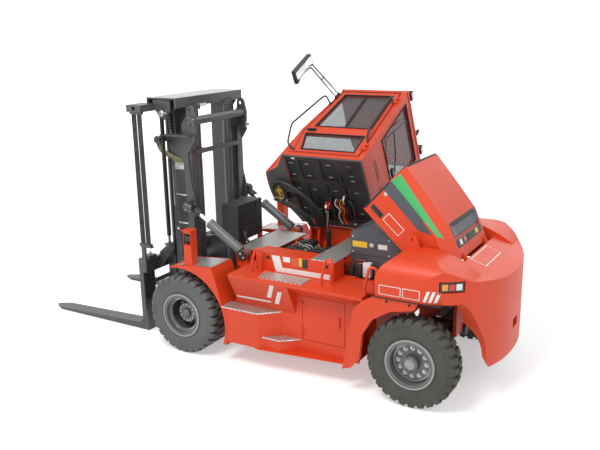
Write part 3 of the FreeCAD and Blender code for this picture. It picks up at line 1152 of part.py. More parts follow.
def cab_rear_wall():
    y0 = CAB_RIGHT + CAB_PILLAR
    y1 = CAB_LEFT - CAB_PILLAR
    return wall_x(CAB_REAR, CAB_REAR + CAB_WALL, y0, y1, CAB_FLOOR + CAB_FLOOR_THICKNESS, CAB_ROOF - 60,
                  (y0 + 50, y1 - 50, 2090, 2960))


def side_wall(y0, y1, gap):
    """A side of the cab between its posts, with the two window openings."""
    x0 = CAB_REAR + CAB_PILLAR + gap
    x1 = CAB_POST_FRONT - CAB_WALL - gap
    low = CAB_FLOOR + CAB_FLOOR_THICKNESS + gap
    high = CAB_ROOF - 60 - gap
    lean = (CAB_POST_FRONT - CAB_ROOF_FRONT) / (CAB_ROOF - CAB_WAIST)
    outline = [(x0, low), (x1, low), (x1, CAB_WAIST), (x1 - (high - CAB_WAIST) * lean, high), (x0, high)]
    sheet = side_plate(outline, y0, y1)
    for opening in SIDE_WINDOWS:
        sheet = sheet.cut(side_plate(opening, y0 - 1, y1 + 1))
    return sheet


def cab_door():
    outer = CAB_LEFT + 5
    door = side_wall(outer - CAB_WALL, outer, FORK_GAP)
    for z in DOOR_HINGES:
        leaf = block(DOOR_HINGE_X, DOOR_HINGE_X + 45, outer, DOOR_HINGE_Y, z - 30, z + 30)
        sleeve = bar(Vector(DOOR_HINGE_X, DOOR_HINGE_Y, z - 30), Vector(DOOR_HINGE_X, DOOR_HINGE_Y,
                                                                        z + 30), 11)
        hole = bar(Vector(DOOR_HINGE_X, DOOR_HINGE_Y, z - 31), Vector(DOOR_HINGE_X, DOOR_HINGE_Y, z + 31),
                   DOOR_HINGE_PIN + RUNNING_CLEARANCE)
        door = join(door, leaf, sleeve).cut(hole)
    return door


def window_panes(y):
    return [side_plate(opening, y, y + GLASS) for opening in SIDE_WINDOWS]


def windscreen():
    def crescent(x_middle, x_side, z):
        left = Vector(x_side, CAB_LEFT - 20, z)
        right = Vector(x_side, CAB_RIGHT + 20, z)
        back = Vector(-GLASS, 0, 0)
        middle = Vector(x_middle, (CAB_LEFT + CAB_RIGHT) / 2, z)
        return Part.Wire([Part.Arc(left, middle, right).toShape(),
                          Part.LineSegment(right, right + back).toShape(),
                          Part.Arc(right + back, middle + back, left + back).toShape(),
                          Part.LineSegment(left + back, left).toShape()])
    return Part.makeLoft([crescent(-640, -800, CAB_WAIST + SEAT_CLEARANCE), crescent(CAB_ROOF_FRONT + 61, CAB_ROOF_FRONT + 13, CAB_ROOF)],
                         True, True)


def cab_roof():
    front = CAB_ROOF_FRONT + 26
    plan = [(CAB_REAR - 10, CAB_RIGHT), (CAB_REAR - 10, CAB_LEFT), (front, CAB_LEFT), (front + 45, CAB_LEFT - 200),
            (front + 60, (CAB_LEFT + CAB_RIGHT) / 2), (front + 45, CAB_RIGHT + 200), (front, CAB_RIGHT)]
    roof = floor_plate(plan, CAB_ROOF, CAB_ROOF + CAB_ROOF_THICKNESS)
    return roof.makeChamfer(18, [edge for edge in roof.Edges if edge.CenterOfMass.z > CAB_ROOF + 50])


def roof_guard():
    bars = []
    for y in (-300, -50, 200, 450):
        top = CAB_ROOF + CAB_ROOF_THICKNESS
        bars.append(bent_tube([Vector(-975, y, top), Vector(-975, y, top + 60), Vector(-1425, y, top + 60),
                               Vector(-1425, y, top)], 14, 30))
    cross = pin_y(-1185, CAB_ROOF + CAB_ROOF_THICKNESS + 60, -320, 470, 14)
    return join(*bars, cross)


def mirror_arm():
    """Two long rods from the front post to a tall mirror head, with a tie between them."""
    y = CAB_LEFT + 16
    foot = block(-985, -955, CAB_LEFT, CAB_LEFT + 30, 2845, 2975)
    low, high = Vector(-970, y, 2865), Vector(-970, y, 2955)
    low_end, high_end = Vector(-510, y + 340, 3125), Vector(-510, y + 370, 3170)
    arms = [bar(low, low_end, 9), bar(high, high_end, 9)]
    tie = bar(low + (low_end - low) * 0.55, high + (high_end - high) * 0.55, 8)
    head = block(-530, -470, y + 320, y + 505, 2685, 3190)
    return join(foot, *arms, tie, head)


def seat():
    base = block(-1650, -1250, DRIVER_Y - 160, DRIVER_Y + 160, CAB_FLOOR + CAB_FLOOR_THICKNESS, 1780)
    cushion = block(-1680, -1180, DRIVER_Y - 250, DRIVER_Y + 250, 1780, 1900)
    back = side_plate([(-1720, 1880), (-1600, 1880), (-1680, 2520), (-1780, 2520)], DRIVER_Y - 230,
                      DRIVER_Y + 230)
    return join(base, cushion, back)


def dashboard():
    desk = side_plate([(-740, 1550), (-610, 1560), (-710, 2040), (-860, 2040), (-930, 1960), (-790, 1560)],
                      DRIVER_Y - 190, DRIVER_Y + 190)
    hub = Vector(-990, DRIVER_Y, 2120)
    column = bar(Vector(-840, DRIVER_Y, 1980), hub, 40)
    ring = Part.makeTorus(185, 16, hub, Vector(-150, 0, 140))
    spokes = [bar(hub, hub + Vector(0, 185, 0), 14), bar(hub, hub + Vector(0, -185, 0), 14)]
    pedestal = block(-930, -850, DRIVER_Y - 60, DRIVER_Y + 60, CAB_FLOOR + CAB_FLOOR_THICKNESS, 1980)
    return join(desk, pedestal, column, ring, *spokes)


def underside():
    """The dark sheet below the floor, with its openings, and the steering valve in front of it."""
    arm_y = CAB_HINGE_Y + STRUT_ARM
    bottom = CAB_FLOOR - 24
    sheet = block(-1945, -830, -380, CAB_LEFT - 20, bottom, CAB_FLOOR)
    for x0, x1, y0, y1 in UNDERSIDE_HOLES:
        sheet = sheet.cut(block(x0, x1, y0, y1, bottom - 1, CAB_FLOOR + 1))
    sheet = sheet.cut(block(STRUT_X - 40, STRUT_X + 40, arm_y - 65, arm_y + 65, bottom - 1, CAB_FLOOR + 1))
    valve = block(-760, -560, -60, 140, CAB_FLOOR - 110, CAB_FLOOR)
    link = block(-860, -600, -40, 0, CAB_FLOOR - 30, CAB_FLOOR)
    return join(sheet, valve, link)


save("cab_nose", opened(cab_nose()))
save("cab_frame", opened(cab_frame()))
save("cab_rear_wall", opened(cab_rear_wall()))
save("cab_right_wall", opened(side_wall(CAB_RIGHT, CAB_RIGHT + CAB_WALL, 0)))
save("cab_left_door", opened(cab_door()))
save("cab_roof", opened(cab_roof()))
save("door_glass", *[opened(pane) for pane in window_panes(CAB_LEFT - 25)])
rear_pane = block(CAB_REAR + 20, CAB_REAR + 20 + GLASS, CAB_RIGHT + CAB_PILLAR + 50,
                  CAB_LEFT - CAB_PILLAR - 50,
                  2090, 2960)
save("cab_glass", *[opened(pane) for pane in [windscreen(), rear_pane] + window_panes(CAB_RIGHT + 20)])
save("roof_guard", opened(roof_guard()))
save("mirror", opened(mirror_arm()))
save("seat", opened(seat()))
save("dashboard", opened(dashboard()))
save("cab_underside", opened(underside()))


# ================================================================ cab strut
STRUT_TOP = Vector(0, CAB_HINGE_Y + STRUT_ARM * math.cos(math.radians(CAB_OPEN)),
                   CAB_HINGE_Z + STRUT_ARM * math.sin(math.radians(CAB_OPEN)))
STRUT_RUN = STRUT_TOP - Vector(0, *STRUT_BASE)


def along_strut(distance):
    return Vector(STRUT_X, *STRUT_BASE) + STRUT_RUN * (distance / STRUT_RUN.Length)


def strut_barrel():
    eye = bar(Vector(STRUT_X - 16, *STRUT_BASE), Vector(STRUT_X + 16, *STRUT_BASE), 28)
    tube = bar(along_strut(20), along_strut(355), STRUT_BARREL)
    slot = join(block(STRUT_X - 80, STRUT_X - 16, -500, -260, 1000, STRUT_BASE[1] + 42),
                block(STRUT_X + 16, STRUT_X + 80, -500, -260, 1000, STRUT_BASE[1] + 42))
    bore = bar(along_strut(60), along_strut(356), STRUT_ROD + RUNNING_CLEARANCE)
    hole = bar(Vector(STRUT_X - 40, *STRUT_BASE), Vector(STRUT_X + 40, *STRUT_BASE),
               STRUT_PIN + RUNNING_CLEARANCE)
    return join(eye, tube.cut(slot)).cut(bore).cut(hole)


def strut_rod():
    rod = bar(along_strut(325), along_strut(STRUT_RUN.Length - 42), STRUT_ROD)
    top = Vector(STRUT_X, STRUT_TOP.y, STRUT_TOP.z)
    eye = bar(top - Vector(13, 0, 0), top + Vector(13, 0, 0), STRUT_EYE_HOLE + 12)
    hole = bar(top - Vector(20, 0, 0), top + Vector(20, 0, 0), STRUT_EYE_HOLE)
    return join(rod, eye).cut(hole)


save("cab_strut_barrel", strut_barrel())
save("cab_strut_rod", strut_rod())


# ================================================================ hood
def hinge_knuckle(y0, y1, radius):
    return pin_y(HOOD_HINGE_X, HOOD_HINGE_Z, y0, y1, radius)


def hood_shell():
    def section(x, top, half, top_half, inset):
        shoulder = top - 150
        points = [(-half, HOOD_BOTTOM - 1 + inset), (-half, shoulder), (-top_half, top), (top_half, top),
                  (half, shoulder), (half, HOOD_BOTTOM - 1 + inset)]
        return Part.makePolygon([Vector(x, y, z) for y, z in points + points[:1]])
    outer = []
    inner = []
    for x, top in HOOD_TOP_LINE:
        outer.append(section(x, top, HOOD_HALF, HOOD_TOP_HALF, 1))
        inner.append(section(x, top - HOOD_WALL, HOOD_HALF - HOOD_WALL, HOOD_TOP_HALF - HOOD_WALL / 2, -20))
    shell = Part.makeLoft(outer, True, True)
    room = Part.makeLoft(inner, True, True)
    front = Part.Face(section(-2269, 1833 - HOOD_WALL, HOOD_HALF - HOOD_WALL, HOOD_TOP_HALF - HOOD_WALL / 2,
                              -20)).extrude(Vector(200, 0, 0))
    vent = side_plate([(-3102, 1748), (-3262, 1675), (-3238, 1624), (-3078, 1697)], -VENT_HALF, VENT_HALF)
    hood = shell.cut(room).cut(front).cut(vent)
    for y in HOOD_HINGES:
        ear = side_plate([(HOOD_HINGE_X - 8, HOOD_HINGE_Z - 22), (HOOD_HINGE_X + 4, HOOD_HINGE_Z + 23),
                          (HOOD_HINGE_X + 75, HOOD_HINGE_Z + 22), (HOOD_HINGE_X + 95, HOOD_HINGE_Z - 40)],
                         y - HOOD_EAR, y + HOOD_EAR)
        room = block(HOOD_HINGE_X - 50, HOOD_HINGE_X + 42, y - 35, y + 35, HOOD_HINGE_Z - 60,
                     HOOD_HINGE_Z + 60)
        bore = hinge_knuckle(y - 20, y + 20, HOOD_PIN + RUNNING_CLEARANCE)
        hood = join(hood.cut(room), ear, hinge_knuckle(y - HOOD_EAR, y + HOOD_EAR, 24)).cut(bore)
    return hood


save("hood", raised(hood_shell()))
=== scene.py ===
# %% [markdown]
# # An electric forklift with its cab tipped and its hood raised
# This lesson dresses them: it gives each a paint, rubber, steel or glass finish, and
# adds the small things that a buyer sees, such as tread blocks, nuts, hoses and lamps.

# %% Load the frame
import json
import math

import bpy
from mathutils import Matrix, Vector


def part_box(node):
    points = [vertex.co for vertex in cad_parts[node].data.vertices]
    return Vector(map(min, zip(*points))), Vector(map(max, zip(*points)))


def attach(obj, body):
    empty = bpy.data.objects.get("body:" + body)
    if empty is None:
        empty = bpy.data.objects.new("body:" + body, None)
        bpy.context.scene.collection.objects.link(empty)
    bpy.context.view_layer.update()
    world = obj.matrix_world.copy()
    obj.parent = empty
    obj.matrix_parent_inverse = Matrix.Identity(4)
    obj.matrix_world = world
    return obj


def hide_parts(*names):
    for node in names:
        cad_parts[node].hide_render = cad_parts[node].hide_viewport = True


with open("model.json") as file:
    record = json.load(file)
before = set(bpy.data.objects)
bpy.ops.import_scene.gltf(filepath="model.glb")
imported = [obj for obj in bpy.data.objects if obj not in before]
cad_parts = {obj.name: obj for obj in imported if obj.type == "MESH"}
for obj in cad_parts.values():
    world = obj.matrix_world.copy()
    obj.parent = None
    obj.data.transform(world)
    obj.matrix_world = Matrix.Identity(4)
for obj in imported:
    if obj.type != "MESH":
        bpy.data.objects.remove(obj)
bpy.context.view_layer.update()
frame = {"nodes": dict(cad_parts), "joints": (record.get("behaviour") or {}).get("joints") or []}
nodes = frame["nodes"]
joints = {joint["name"]: joint for joint in frame["joints"]}

# %% [markdown]
# ## The camera
# A long view from the left and the rear, a little above the roof of a person.
# The camera is turned by three axes that are worked out from its heading and tilt.

# %% Camera
CAMERA_PLACE = Vector((-5.8367, 8.0468, 4.0677))
HEADING = math.radians(30.54)
TILT = math.radians(14.98)
ROLL = math.radians(-1.05)
LENS = 44.01


def camera_axes():
    ahead = Vector((math.sin(HEADING) * math.cos(TILT), -math.cos(HEADING) * math.cos(TILT), -math.sin(TILT)))
    side = ahead.cross(Vector((0, 0, 1))).normalized()
    over = side.cross(ahead)
    turned_side = side * math.cos(ROLL) + over * math.sin(ROLL)
    turned_over = over * math.cos(ROLL) - side * math.sin(ROLL)
    return turned_side, turned_over, -ahead


bpy.ops.object.camera_add(location=CAMERA_PLACE)
camera = bpy.context.object
camera.rotation_euler = Matrix(camera_axes()).transposed().to_euler()
camera.data.lens = LENS
camera.data.sensor_width = 36
bpy.context.scene.camera = camera
print("camera at", [round(value, 2) for value in camera.location])

# %% [markdown]
# ## Selecting and settling
# Operators act on whatever is selected, so each step starts from an empty selection.
# A finished piece is settled: its place goes into its mesh, and it gets a name, a body
# to ride on and a finish.

# %% Helpers for selecting and settling


def only(piece):
    bpy.ops.object.select_all(action="DESELECT")
    piece.select_set(True)
    bpy.context.view_layer.objects.active = piece
    return piece


def bake_place(piece):
    only(piece)
    bpy.ops.object.transform_apply(location=True, rotation=True, scale=True)
    return piece


def use_modifier(piece, kind, **settings):
    only(piece)
    modifier = piece.modifiers.new(kind.lower(), kind)
    for key, value in settings.items():
        setattr(modifier, key, value)
    bpy.ops.object.modifier_apply(modifier=modifier.name)
    return piece


def dress(piece, paint):
    piece.data.materials.clear()
    piece.data.materials.append(paint)


def fuse(pieces, name):
    """Joins pieces into one, as with Ctrl+J."""
    bpy.ops.object.select_all(action="DESELECT")
    for piece in pieces:
        piece.select_set(True)
    bpy.context.view_layer.objects.active = pieces[0]
    if len(pieces) > 1:
        bpy.ops.object.join()
    pieces[0].name = name
    return pieces[0]


def settle(piece, name, body, paint, angle=35):
    bake_place(piece)
    piece.name = name
    piece.data.name = name
    dress(piece, paint)
    bpy.ops.object.shade_smooth_by_angle(angle=math.radians(angle))
    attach(piece, body)
    return piece


SIDES = (("left", 1), ("right", -1))
print("sides", [side for side, sign in SIDES])


# %% [markdown]
# ## Shapes to start from
# Nearly all small parts start as one of four things: a block with broken edges, a plate
# cut to an outline, a turned profile, or a bent tube.

# %% Helpers for shapes


def block(low, high, edge=0.004):
    low, high = Vector(low), Vector(high)
    bpy.ops.mesh.primitive_cube_add(size=1, location=(low + high) / 2, scale=high - low)
    piece = bake_place(bpy.context.object)
    if edge:
        use_modifier(piece, "BEVEL", width=min(edge, 0.45 * min(high - low)), segments=2)
    return piece


def plate(points, thickness):
    """A filled circle whose corners are moved to an outline and then extruded."""
    bpy.ops.mesh.primitive_circle_add(vertices=len(points), fill_type="NGON")
    piece = bpy.context.object
    for vertex, point in zip(piece.data.vertices, points):
        vertex.co = point
    bpy.ops.object.mode_set(mode="EDIT")
    bpy.ops.mesh.select_all(action="SELECT")
    bpy.ops.mesh.extrude_region_move(TRANSFORM_OT_translate={"value": Vector(thickness)})
    bpy.ops.mesh.select_all(action="SELECT")
    bpy.ops.mesh.normals_make_consistent(inside=False)
    bpy.ops.object.mode_set(mode="OBJECT")
    return piece


def turned(profile, place, axis, steps=32):
    """A closed outline of (radius, along) pairs, spun round an axis through a place."""
    axis = Vector(axis).normalized()
    across = axis.orthogonal().normalized()
    place = Vector(place)
    bpy.ops.mesh.primitive_circle_add(vertices=len(profile), fill_type="NOTHING")
    piece = bpy.context.object
    for vertex, (radius, along) in zip(piece.data.vertices, profile):
        vertex.co = place + across * radius + axis * along
    bpy.ops.object.mode_set(mode="EDIT")
    bpy.ops.mesh.select_all(action="SELECT")
    bpy.ops.mesh.spin(steps=steps, angle=2 * math.pi, center=place, axis=axis)
    bpy.ops.mesh.select_all(action="SELECT")
    bpy.ops.mesh.remove_doubles(threshold=0.00005)
    bpy.ops.mesh.dissolve_degenerate(threshold=0.00001)
    bpy.ops.mesh.normals_make_consistent(inside=False)
    bpy.ops.object.mode_set(mode="OBJECT")
    return piece


def rod(start, end, radius, sides=20, edge=0.0):
    """A straight round bar between two points, with broken ends."""
    start, end = Vector(start), Vector(end)
    run = end - start
    bpy.ops.mesh.primitive_cylinder_add(vertices=sides, radius=radius, depth=run.length,
                                        location=(start + end) / 2,
                                        rotation=run.to_track_quat("Z", "Y").to_euler())
    piece = bake_place(bpy.context.object)
    if edge:
        use_modifier(piece, "BEVEL", width=edge, segments=2, limit_method="ANGLE",
                     angle_limit=math.radians(50))
    return piece


def bent(points, radius, sides=10, smooth=True, closed=False):
    """A tube that follows points: a smooth curve for a hose, or straight runs for a bar."""
    curve = bpy.data.curves.new("run", "CURVE")
    curve.dimensions = "3D"
    curve.bevel_depth = radius
    curve.bevel_resolution = max(1, sides // 4)
    curve.use_fill_caps = True
    curve.resolution_u = 6
    spline = curve.splines.new("NURBS" if smooth else "POLY")
    spline.points.add(len(points) - 1)
    for control, point in zip(spline.points, points):
        control.co = (*point, 1)
    if smooth:
        spline.order_u = 3
        spline.use_endpoint_u = not closed
    spline.use_cyclic_u = closed
    piece = bpy.data.objects.new("run", curve)
    bpy.context.collection.objects.link(piece)
    only(piece)
    bpy.ops.object.convert(target="MESH")
    return bpy.context.object


def twin(piece, move=None):
    """A copy with its own mesh, moved by a matrix."""
    only(piece)
    bpy.ops.object.duplicate()
    copy = bpy.context.object
    if move is not None:
        copy.data.transform(move)
    return copy


# %% [markdown]
# ## Finishes
# A finish is one Principled shader. Its colour is broken up by a soft cloud of dust and a
# finer grain, and its roughness and a little bump follow the same noise. Two helpers keep
# this short: one adds a node, and one sets its sockets, by a value or by a link.

# %% Finish helpers


def wire(tree, node, sockets):
    """Sets a node's sockets: what is a socket itself is linked, and the rest is a value."""
    for socket, value in sockets.items():
        if isinstance(value, bpy.types.NodeSocket):
            tree.links.new(value, node.inputs[socket])
        else:
            node.inputs[socket].default_value = value
    return node


def make(tree, kind, output, sockets=None, **settings):
    """Adds a node and gives back one of its outputs."""
    node = tree.nodes.new("ShaderNode" + kind)
    for setting, value in settings.items():
        setattr(node, setting, value)
    return wire(tree, node, sockets or {}).outputs[output]


def new_material(name):
    material = bpy.data.materials.new(name)
    material.use_nodes = True
    return material, material.node_tree, material.node_tree.nodes["Principled BSDF"]


def relief_over(tree, shader, height, strength, distance):
    """A bump from a height, wired to the shader's normal."""
    normal = make(tree, "Bump", "Normal", {"Strength": strength, "Distance": distance, "Height": height})
    wire(tree, shader, {"Normal": normal})


def tint_by(tree, shader, factor, low=None, high=None):
    """Mixes the base colour with a plain one: low takes the place of the dark end, high of the bright end."""
    colour = shader.inputs["Base Color"].links[0].from_socket
    ends = {"A": (*low, 1) if low else colour, "B": (*high, 1) if high else colour}
    mixed = make(tree, "Mix", "Result", {"Factor": factor, **ends}, data_type="RGBA")
    wire(tree, shader, {"Base Color": mixed})


DUST_SCALE, DUST_START, DUST_FULL = 3.0, 0.42, 0.72
GRAIN_DEPTH = 0.004


def finish(name, colour, rough=0.4, metal=0.0, coat=0.0, dust=None, dust_amount=0.25,
           grain=60.0, bump=0.05, rough_spread=0.12):
    """A paint, rubber or metal. Its dust colour is a darker version of its own, unless one is given."""
    material, tree, shader = new_material(name)
    place = make(tree, "TexCoord", "Object")
    cloud = make(tree, "TexNoise", "Fac", {"Vector": place, "Scale": DUST_SCALE, "Detail": 7,
                                           "Roughness": 0.62})
    fine = make(tree, "TexNoise", "Fac", {"Vector": place, "Scale": grain, "Detail": 3})
    amount = make(tree, "MapRange", "Result",
                  {"Value": cloud, "From Min": DUST_START, "From Max": DUST_FULL, "To Max": dust_amount})
    dust = dust or [0.75 * part for part in colour]
    mixed = make(tree, "Mix", "Result", {"Factor": amount, "A": (*colour, 1), "B": (*dust, 1)},
                 data_type="RGBA")
    roughness = make(tree, "MapRange", "Result", {"Value": cloud, "To Min": max(0.03, rough - rough_spread),
                                                  "To Max": rough + rough_spread})
    wire(tree, shader, {"Metallic": metal, "Coat Weight": coat, "Coat Roughness": 0.12, "Base Color": mixed,
                        "Roughness": roughness})
    relief_over(tree, shader, fine, bump, GRAIN_DEPTH)
    return material


# %% [markdown]
# The body colour is a strong orange red. The mast and the axles are dark grey, the
# covers beside the seat are slate, and the bare parts are steel, chrome or rubber.

# %% Finishes
ORANGE = finish("orange_paint", (0.7, 0.05, 0.006), rough=0.48, coat=0.05, dust=(0.6, 0.06, 0.014),
                dust_amount=0.35, bump=0.02)
MAST = finish("mast_paint", (0.058, 0.062, 0.064), rough=0.38, coat=0.15, dust=(0.13, 0.13, 0.125),
              dust_amount=0.35, grain=90)
BARREL = finish("barrel_paint", (0.13, 0.14, 0.145), rough=0.4, dust=(0.2, 0.2, 0.195), dust_amount=0.4)
FRAME = finish("frame_black", (0.018, 0.018, 0.018), rough=0.5, dust=(0.06, 0.055, 0.05), dust_amount=0.5)
SLATE = finish("slate_paint", (0.062, 0.074, 0.088), rough=0.42, dust=(0.1, 0.11, 0.12), dust_amount=0.4)
AXLE = finish("axle_paint", (0.035, 0.035, 0.036), rough=0.55, dust=(0.1, 0.09, 0.08), dust_amount=0.5)
RIM = finish("rim_paint", (0.12, 0.125, 0.13), rough=0.36, metal=0.35, dust=(0.2, 0.2, 0.19), dust_amount=0.4)
RIM_LIP = finish("rim_lip", (0.3, 0.31, 0.3), rough=0.3, metal=0.6)
BELLY_PAINT = finish("belly_paint", (0.085, 0.088, 0.09), rough=0.55, dust=(0.13, 0.13, 0.125),
                     dust_amount=0.5)
FRONT_RUBBER = finish("front_rubber", (0.105, 0.108, 0.11), rough=0.75, dust=(0.17, 0.165, 0.155),
                      dust_amount=0.6, grain=140, bump=0.25)
REAR_RUBBER = finish("rear_rubber", (0.058, 0.06, 0.05), rough=0.78, dust=(0.11, 0.108, 0.09),
                     dust_amount=0.6, grain=140, bump=0.25)
CHROME = finish("chrome", (0.72, 0.73, 0.74), rough=0.14, metal=1.0, dust=(0.45, 0.45, 0.44), dust_amount=0.3,
                rough_spread=0.06)
STEEL = finish("bright_steel", (0.55, 0.55, 0.54), rough=0.32, metal=0.9, dust=(0.3, 0.29, 0.27),
               dust_amount=0.5)
HOSE = finish("hose_rubber", (0.022, 0.022, 0.02), rough=0.5, dust=(0.07, 0.068, 0.05), dust_amount=0.5,
              grain=200)
PLASTIC = finish("black_plastic", (0.02, 0.021, 0.022), rough=0.42, dust=(0.06, 0.06, 0.06), dust_amount=0.3,
                 grain=180, bump=0.15)
SEAL = finish("seal_rubber", (0.012, 0.012, 0.013), rough=0.6, dust=(0.03, 0.03, 0.03), dust_amount=0.4)
WHITE = finish("white_mark", (0.83, 0.83, 0.82), rough=0.4, dust=(0.62, 0.61, 0.58), dust_amount=0.3)
GREEN = finish("green_mark", (0.04, 0.42, 0.11), rough=0.35, coat=0.2, dust=(0.06, 0.33, 0.1))
YELLOW = finish("yellow_mark", (0.8, 0.52, 0.03), rough=0.4, dust=(0.6, 0.4, 0.05))
KHAKI = finish("khaki_band", (0.2, 0.19, 0.09), rough=0.5, dust=(0.12, 0.11, 0.06), dust_amount=0.5)
BRASS = finish("brass_valve", (0.6, 0.42, 0.1), rough=0.3, metal=0.9)
AMBER = finish("amber_lens", (0.85, 0.3, 0.01), rough=0.15, coat=0.6, bump=0.3, grain=220)
RED_LENS = finish("red_lens", (0.6, 0.015, 0.012), rough=0.15, coat=0.6, bump=0.3, grain=220)
CLEAR_RED = finish("red_plate", (0.66, 0.1, 0.06), rough=0.4)
CLEAR_LENS = finish("clear_lens", (0.75, 0.77, 0.78), rough=0.12, coat=0.6, bump=0.3, grain=220)
CLOTH = finish("seat_cloth", (0.03, 0.031, 0.034), rough=0.85, dust=(0.06, 0.06, 0.062), grain=420, bump=0.5)
print("finishes", len(bpy.data.materials))

# %% [markdown]
# Glass is a thin tinted sheet: mostly see-through, with a clear reflection.
# Checker plate is bright metal with short raised bars that lie crosswise in turn.
# A leaf chain is drawn as rows of links, so its finish has dark gaps at a regular pitch.

# %% Glass, checker plate and chain
BARS_PER_METRE = 22
BAR_SLIMNESS = 0.28


def glass(name, tint, see_through):
    material, tree, shader = new_material(name)
    wire(tree, shader, {"Base Color": (*tint, 1), "Roughness": 0.06, "Alpha": see_through,
                        "Specular IOR Level": 0.8})
    return material


def checker(name):
    """Each bar is an ellipse in a square cell: slim one way in one grid, the other way in the next."""
    material = finish(name, (0.5, 0.5, 0.49), rough=0.34, metal=0.75, dust=(0.3, 0.29, 0.27),
                      dust_amount=0.45)
    tree = material.node_tree
    shader = tree.nodes["Principled BSDF"]
    diagonal = make(tree, "Mapping", "Vector", {"Vector": make(tree, "TexCoord", "Object"),
                                                "Rotation": (0, 0, math.radians(45))})
    bars = []
    for shift, long, wide in ((0.0, 1, BAR_SLIMNESS), (0.5, BAR_SLIMNESS, 1)):
        at = diagonal
        for operation, value in (("MULTIPLY", (BARS_PER_METRE,) * 3), ("ADD", (shift, shift, 0)),
                                 ("FRACTION", None), ("SUBTRACT", (0.5, 0.5, 0)),
                                 ("MULTIPLY", (1 / long, 1 / wide, 0))):
            at = make(tree, "VectorMath", "Vector", {0: at, 1: value} if value else {0: at},
                      operation=operation)
        size = make(tree, "VectorMath", "Value", {0: at}, operation="LENGTH")
        bars.append(make(tree, "MapRange", "Result", {"From Min": 0.5, "From Max": 0.34, "Value": size}))
    both = make(tree, "Math", "Value", {0: bars[0], 1: bars[1]}, operation="MAXIMUM")
    relief_over(tree, shader, both, 0.9, 0.003)
    tint_by(tree, shader, both, high=(0.8, 0.8, 0.79))
    return material


def linked_chain(name, pitch):
    """Rows of links: dark gaps across the run at each pitch, and thin lines along it between the leaves."""
    material = finish(name, (0.11, 0.11, 0.1), rough=0.32, metal=0.75, dust=(0.03, 0.03, 0.026),
                      dust_amount=0.6)
    tree = material.node_tree
    shader = tree.nodes["Principled BSDF"]
    upright = make(tree, "Mapping", "Vector", {"Vector": make(tree, "TexCoord", "Object"),
                                               "Rotation": (math.radians(90), 0, 0)})
    links = make(tree, "TexBrick", "Color", {"Scale": 1, "Brick Width": 0.5, "Row Height": pitch,
                                             "Mortar Size": 0.12 * pitch, "Color1": (1, 1, 1, 1),
                                             "Color2": (0.8, 0.8, 0.8, 1), "Mortar": (0, 0, 0, 1),
                                             "Vector": upright})
    tint_by(tree, shader, links, low=(0.01, 0.01, 0.009))
    relief_over(tree, shader, links, 0.8, 0.006)
    return material


PANE = glass("tinted_pane", (0.10, 0.14, 0.15), 0.35)
MIRROR_GLASS = finish("mirror_glass", (0.8, 0.82, 0.84), rough=0.06, metal=0.95, rough_spread=0.03)
CHECKER = checker("checker_plate")
LINKS = linked_chain("leaf_chain", 0.038)
SPIRAL_HOSE = linked_chain("spiral_hose", 0.03)
print("finishes", len(bpy.data.materials))

# %% [markdown]

# %% [markdown]
# Each CAD node keeps its shape and takes one of these finishes.

# %% Finishes for the CAD nodes
NODE_FINISH = {
    ORANGE: ["side_panels", "counterweight", "fenders", "cab_nose", "cab_frame", "cab_rear_wall", "cab_right_wall",
             "cab_left_door", "cab_roof", "hood", "service_door_left", "service_door_right", "chassis_frame",
             "tow_pin", "hand_rails", "deck_boxes"],
    MAST: ["outer_mast", "inner_mast", "carriage", "fork_left", "fork_right", "lift_barrels"],
    BARREL: ["tilt_barrel_left", "tilt_barrel_right"],
    FRAME: ["cab_underside", "cab_strut_barrel", "roof_guard", "oil_cooler"],
    SLATE: ["battery_pack", "hydraulic_unit"],
    AXLE: ["drive_axle", "drive_motor", "steer_axle", "steer_knuckle_left", "steer_knuckle_right"],
    RIM: ["front_twin_rim_left", "front_twin_rim_right", "rear_rim_left", "rear_rim_right"],
    FRONT_RUBBER: ["front_tyres_left", "front_tyres_right"],
    REAR_RUBBER: ["rear_tyre_left", "rear_tyre_right"],
    CHECKER: ["tread_plates", "floor_plates"],
    LINKS: ["chain_strands", "chain_loops", "chain_tails"],
    HOSE: ["carriage_hoses"],
    PANE: ["cab_glass", "door_glass"],
    PLASTIC: ["mirror", "dashboard", "seat", "lamps"],
    CHROME: ["tilt_rod_left", "tilt_rod_right", "cab_strut_rod"],
}
for paint, names in NODE_FINISH.items():
    for name in names:
        dress(nodes[name], paint)
left_out = sorted(set(nodes) - {name for names in NODE_FINISH.values() for name in names})
print("nodes with no finish:", left_out)

# %% [markdown]
# ## Floor and light
# A white floor shows only the soft shadow. One large lamp stands high on the left, three
# weaker ones fill in from the other sides, and the sky is even and pale. What the camera,
# a mirror or a pane sees of the floor and the sky is made white apart from the light.

# %% Floor and sky
FLOOR_PLACE = (-0.6, 0, -0.002)
FLOOR_GLOW, FAR_GLOW = 0.42, 1.1
GLOW_START, GLOW_FULL = 6.0, 20.0
SKY_LIGHT, SKY_SEEN = 0.5, 1.05


def seen_directly(tree):
    """One where a ray comes from the camera, a mirror or a pane, and none for soft light."""
    seen = make(tree, "LightPath", "Is Camera Ray")
    for ray in ("Is Glossy Ray", "Is Transmission Ray"):
        seen = make(tree, "Math", "Value", {0: seen, 1: make(tree, "LightPath", ray)}, operation="MAXIMUM")
    return seen


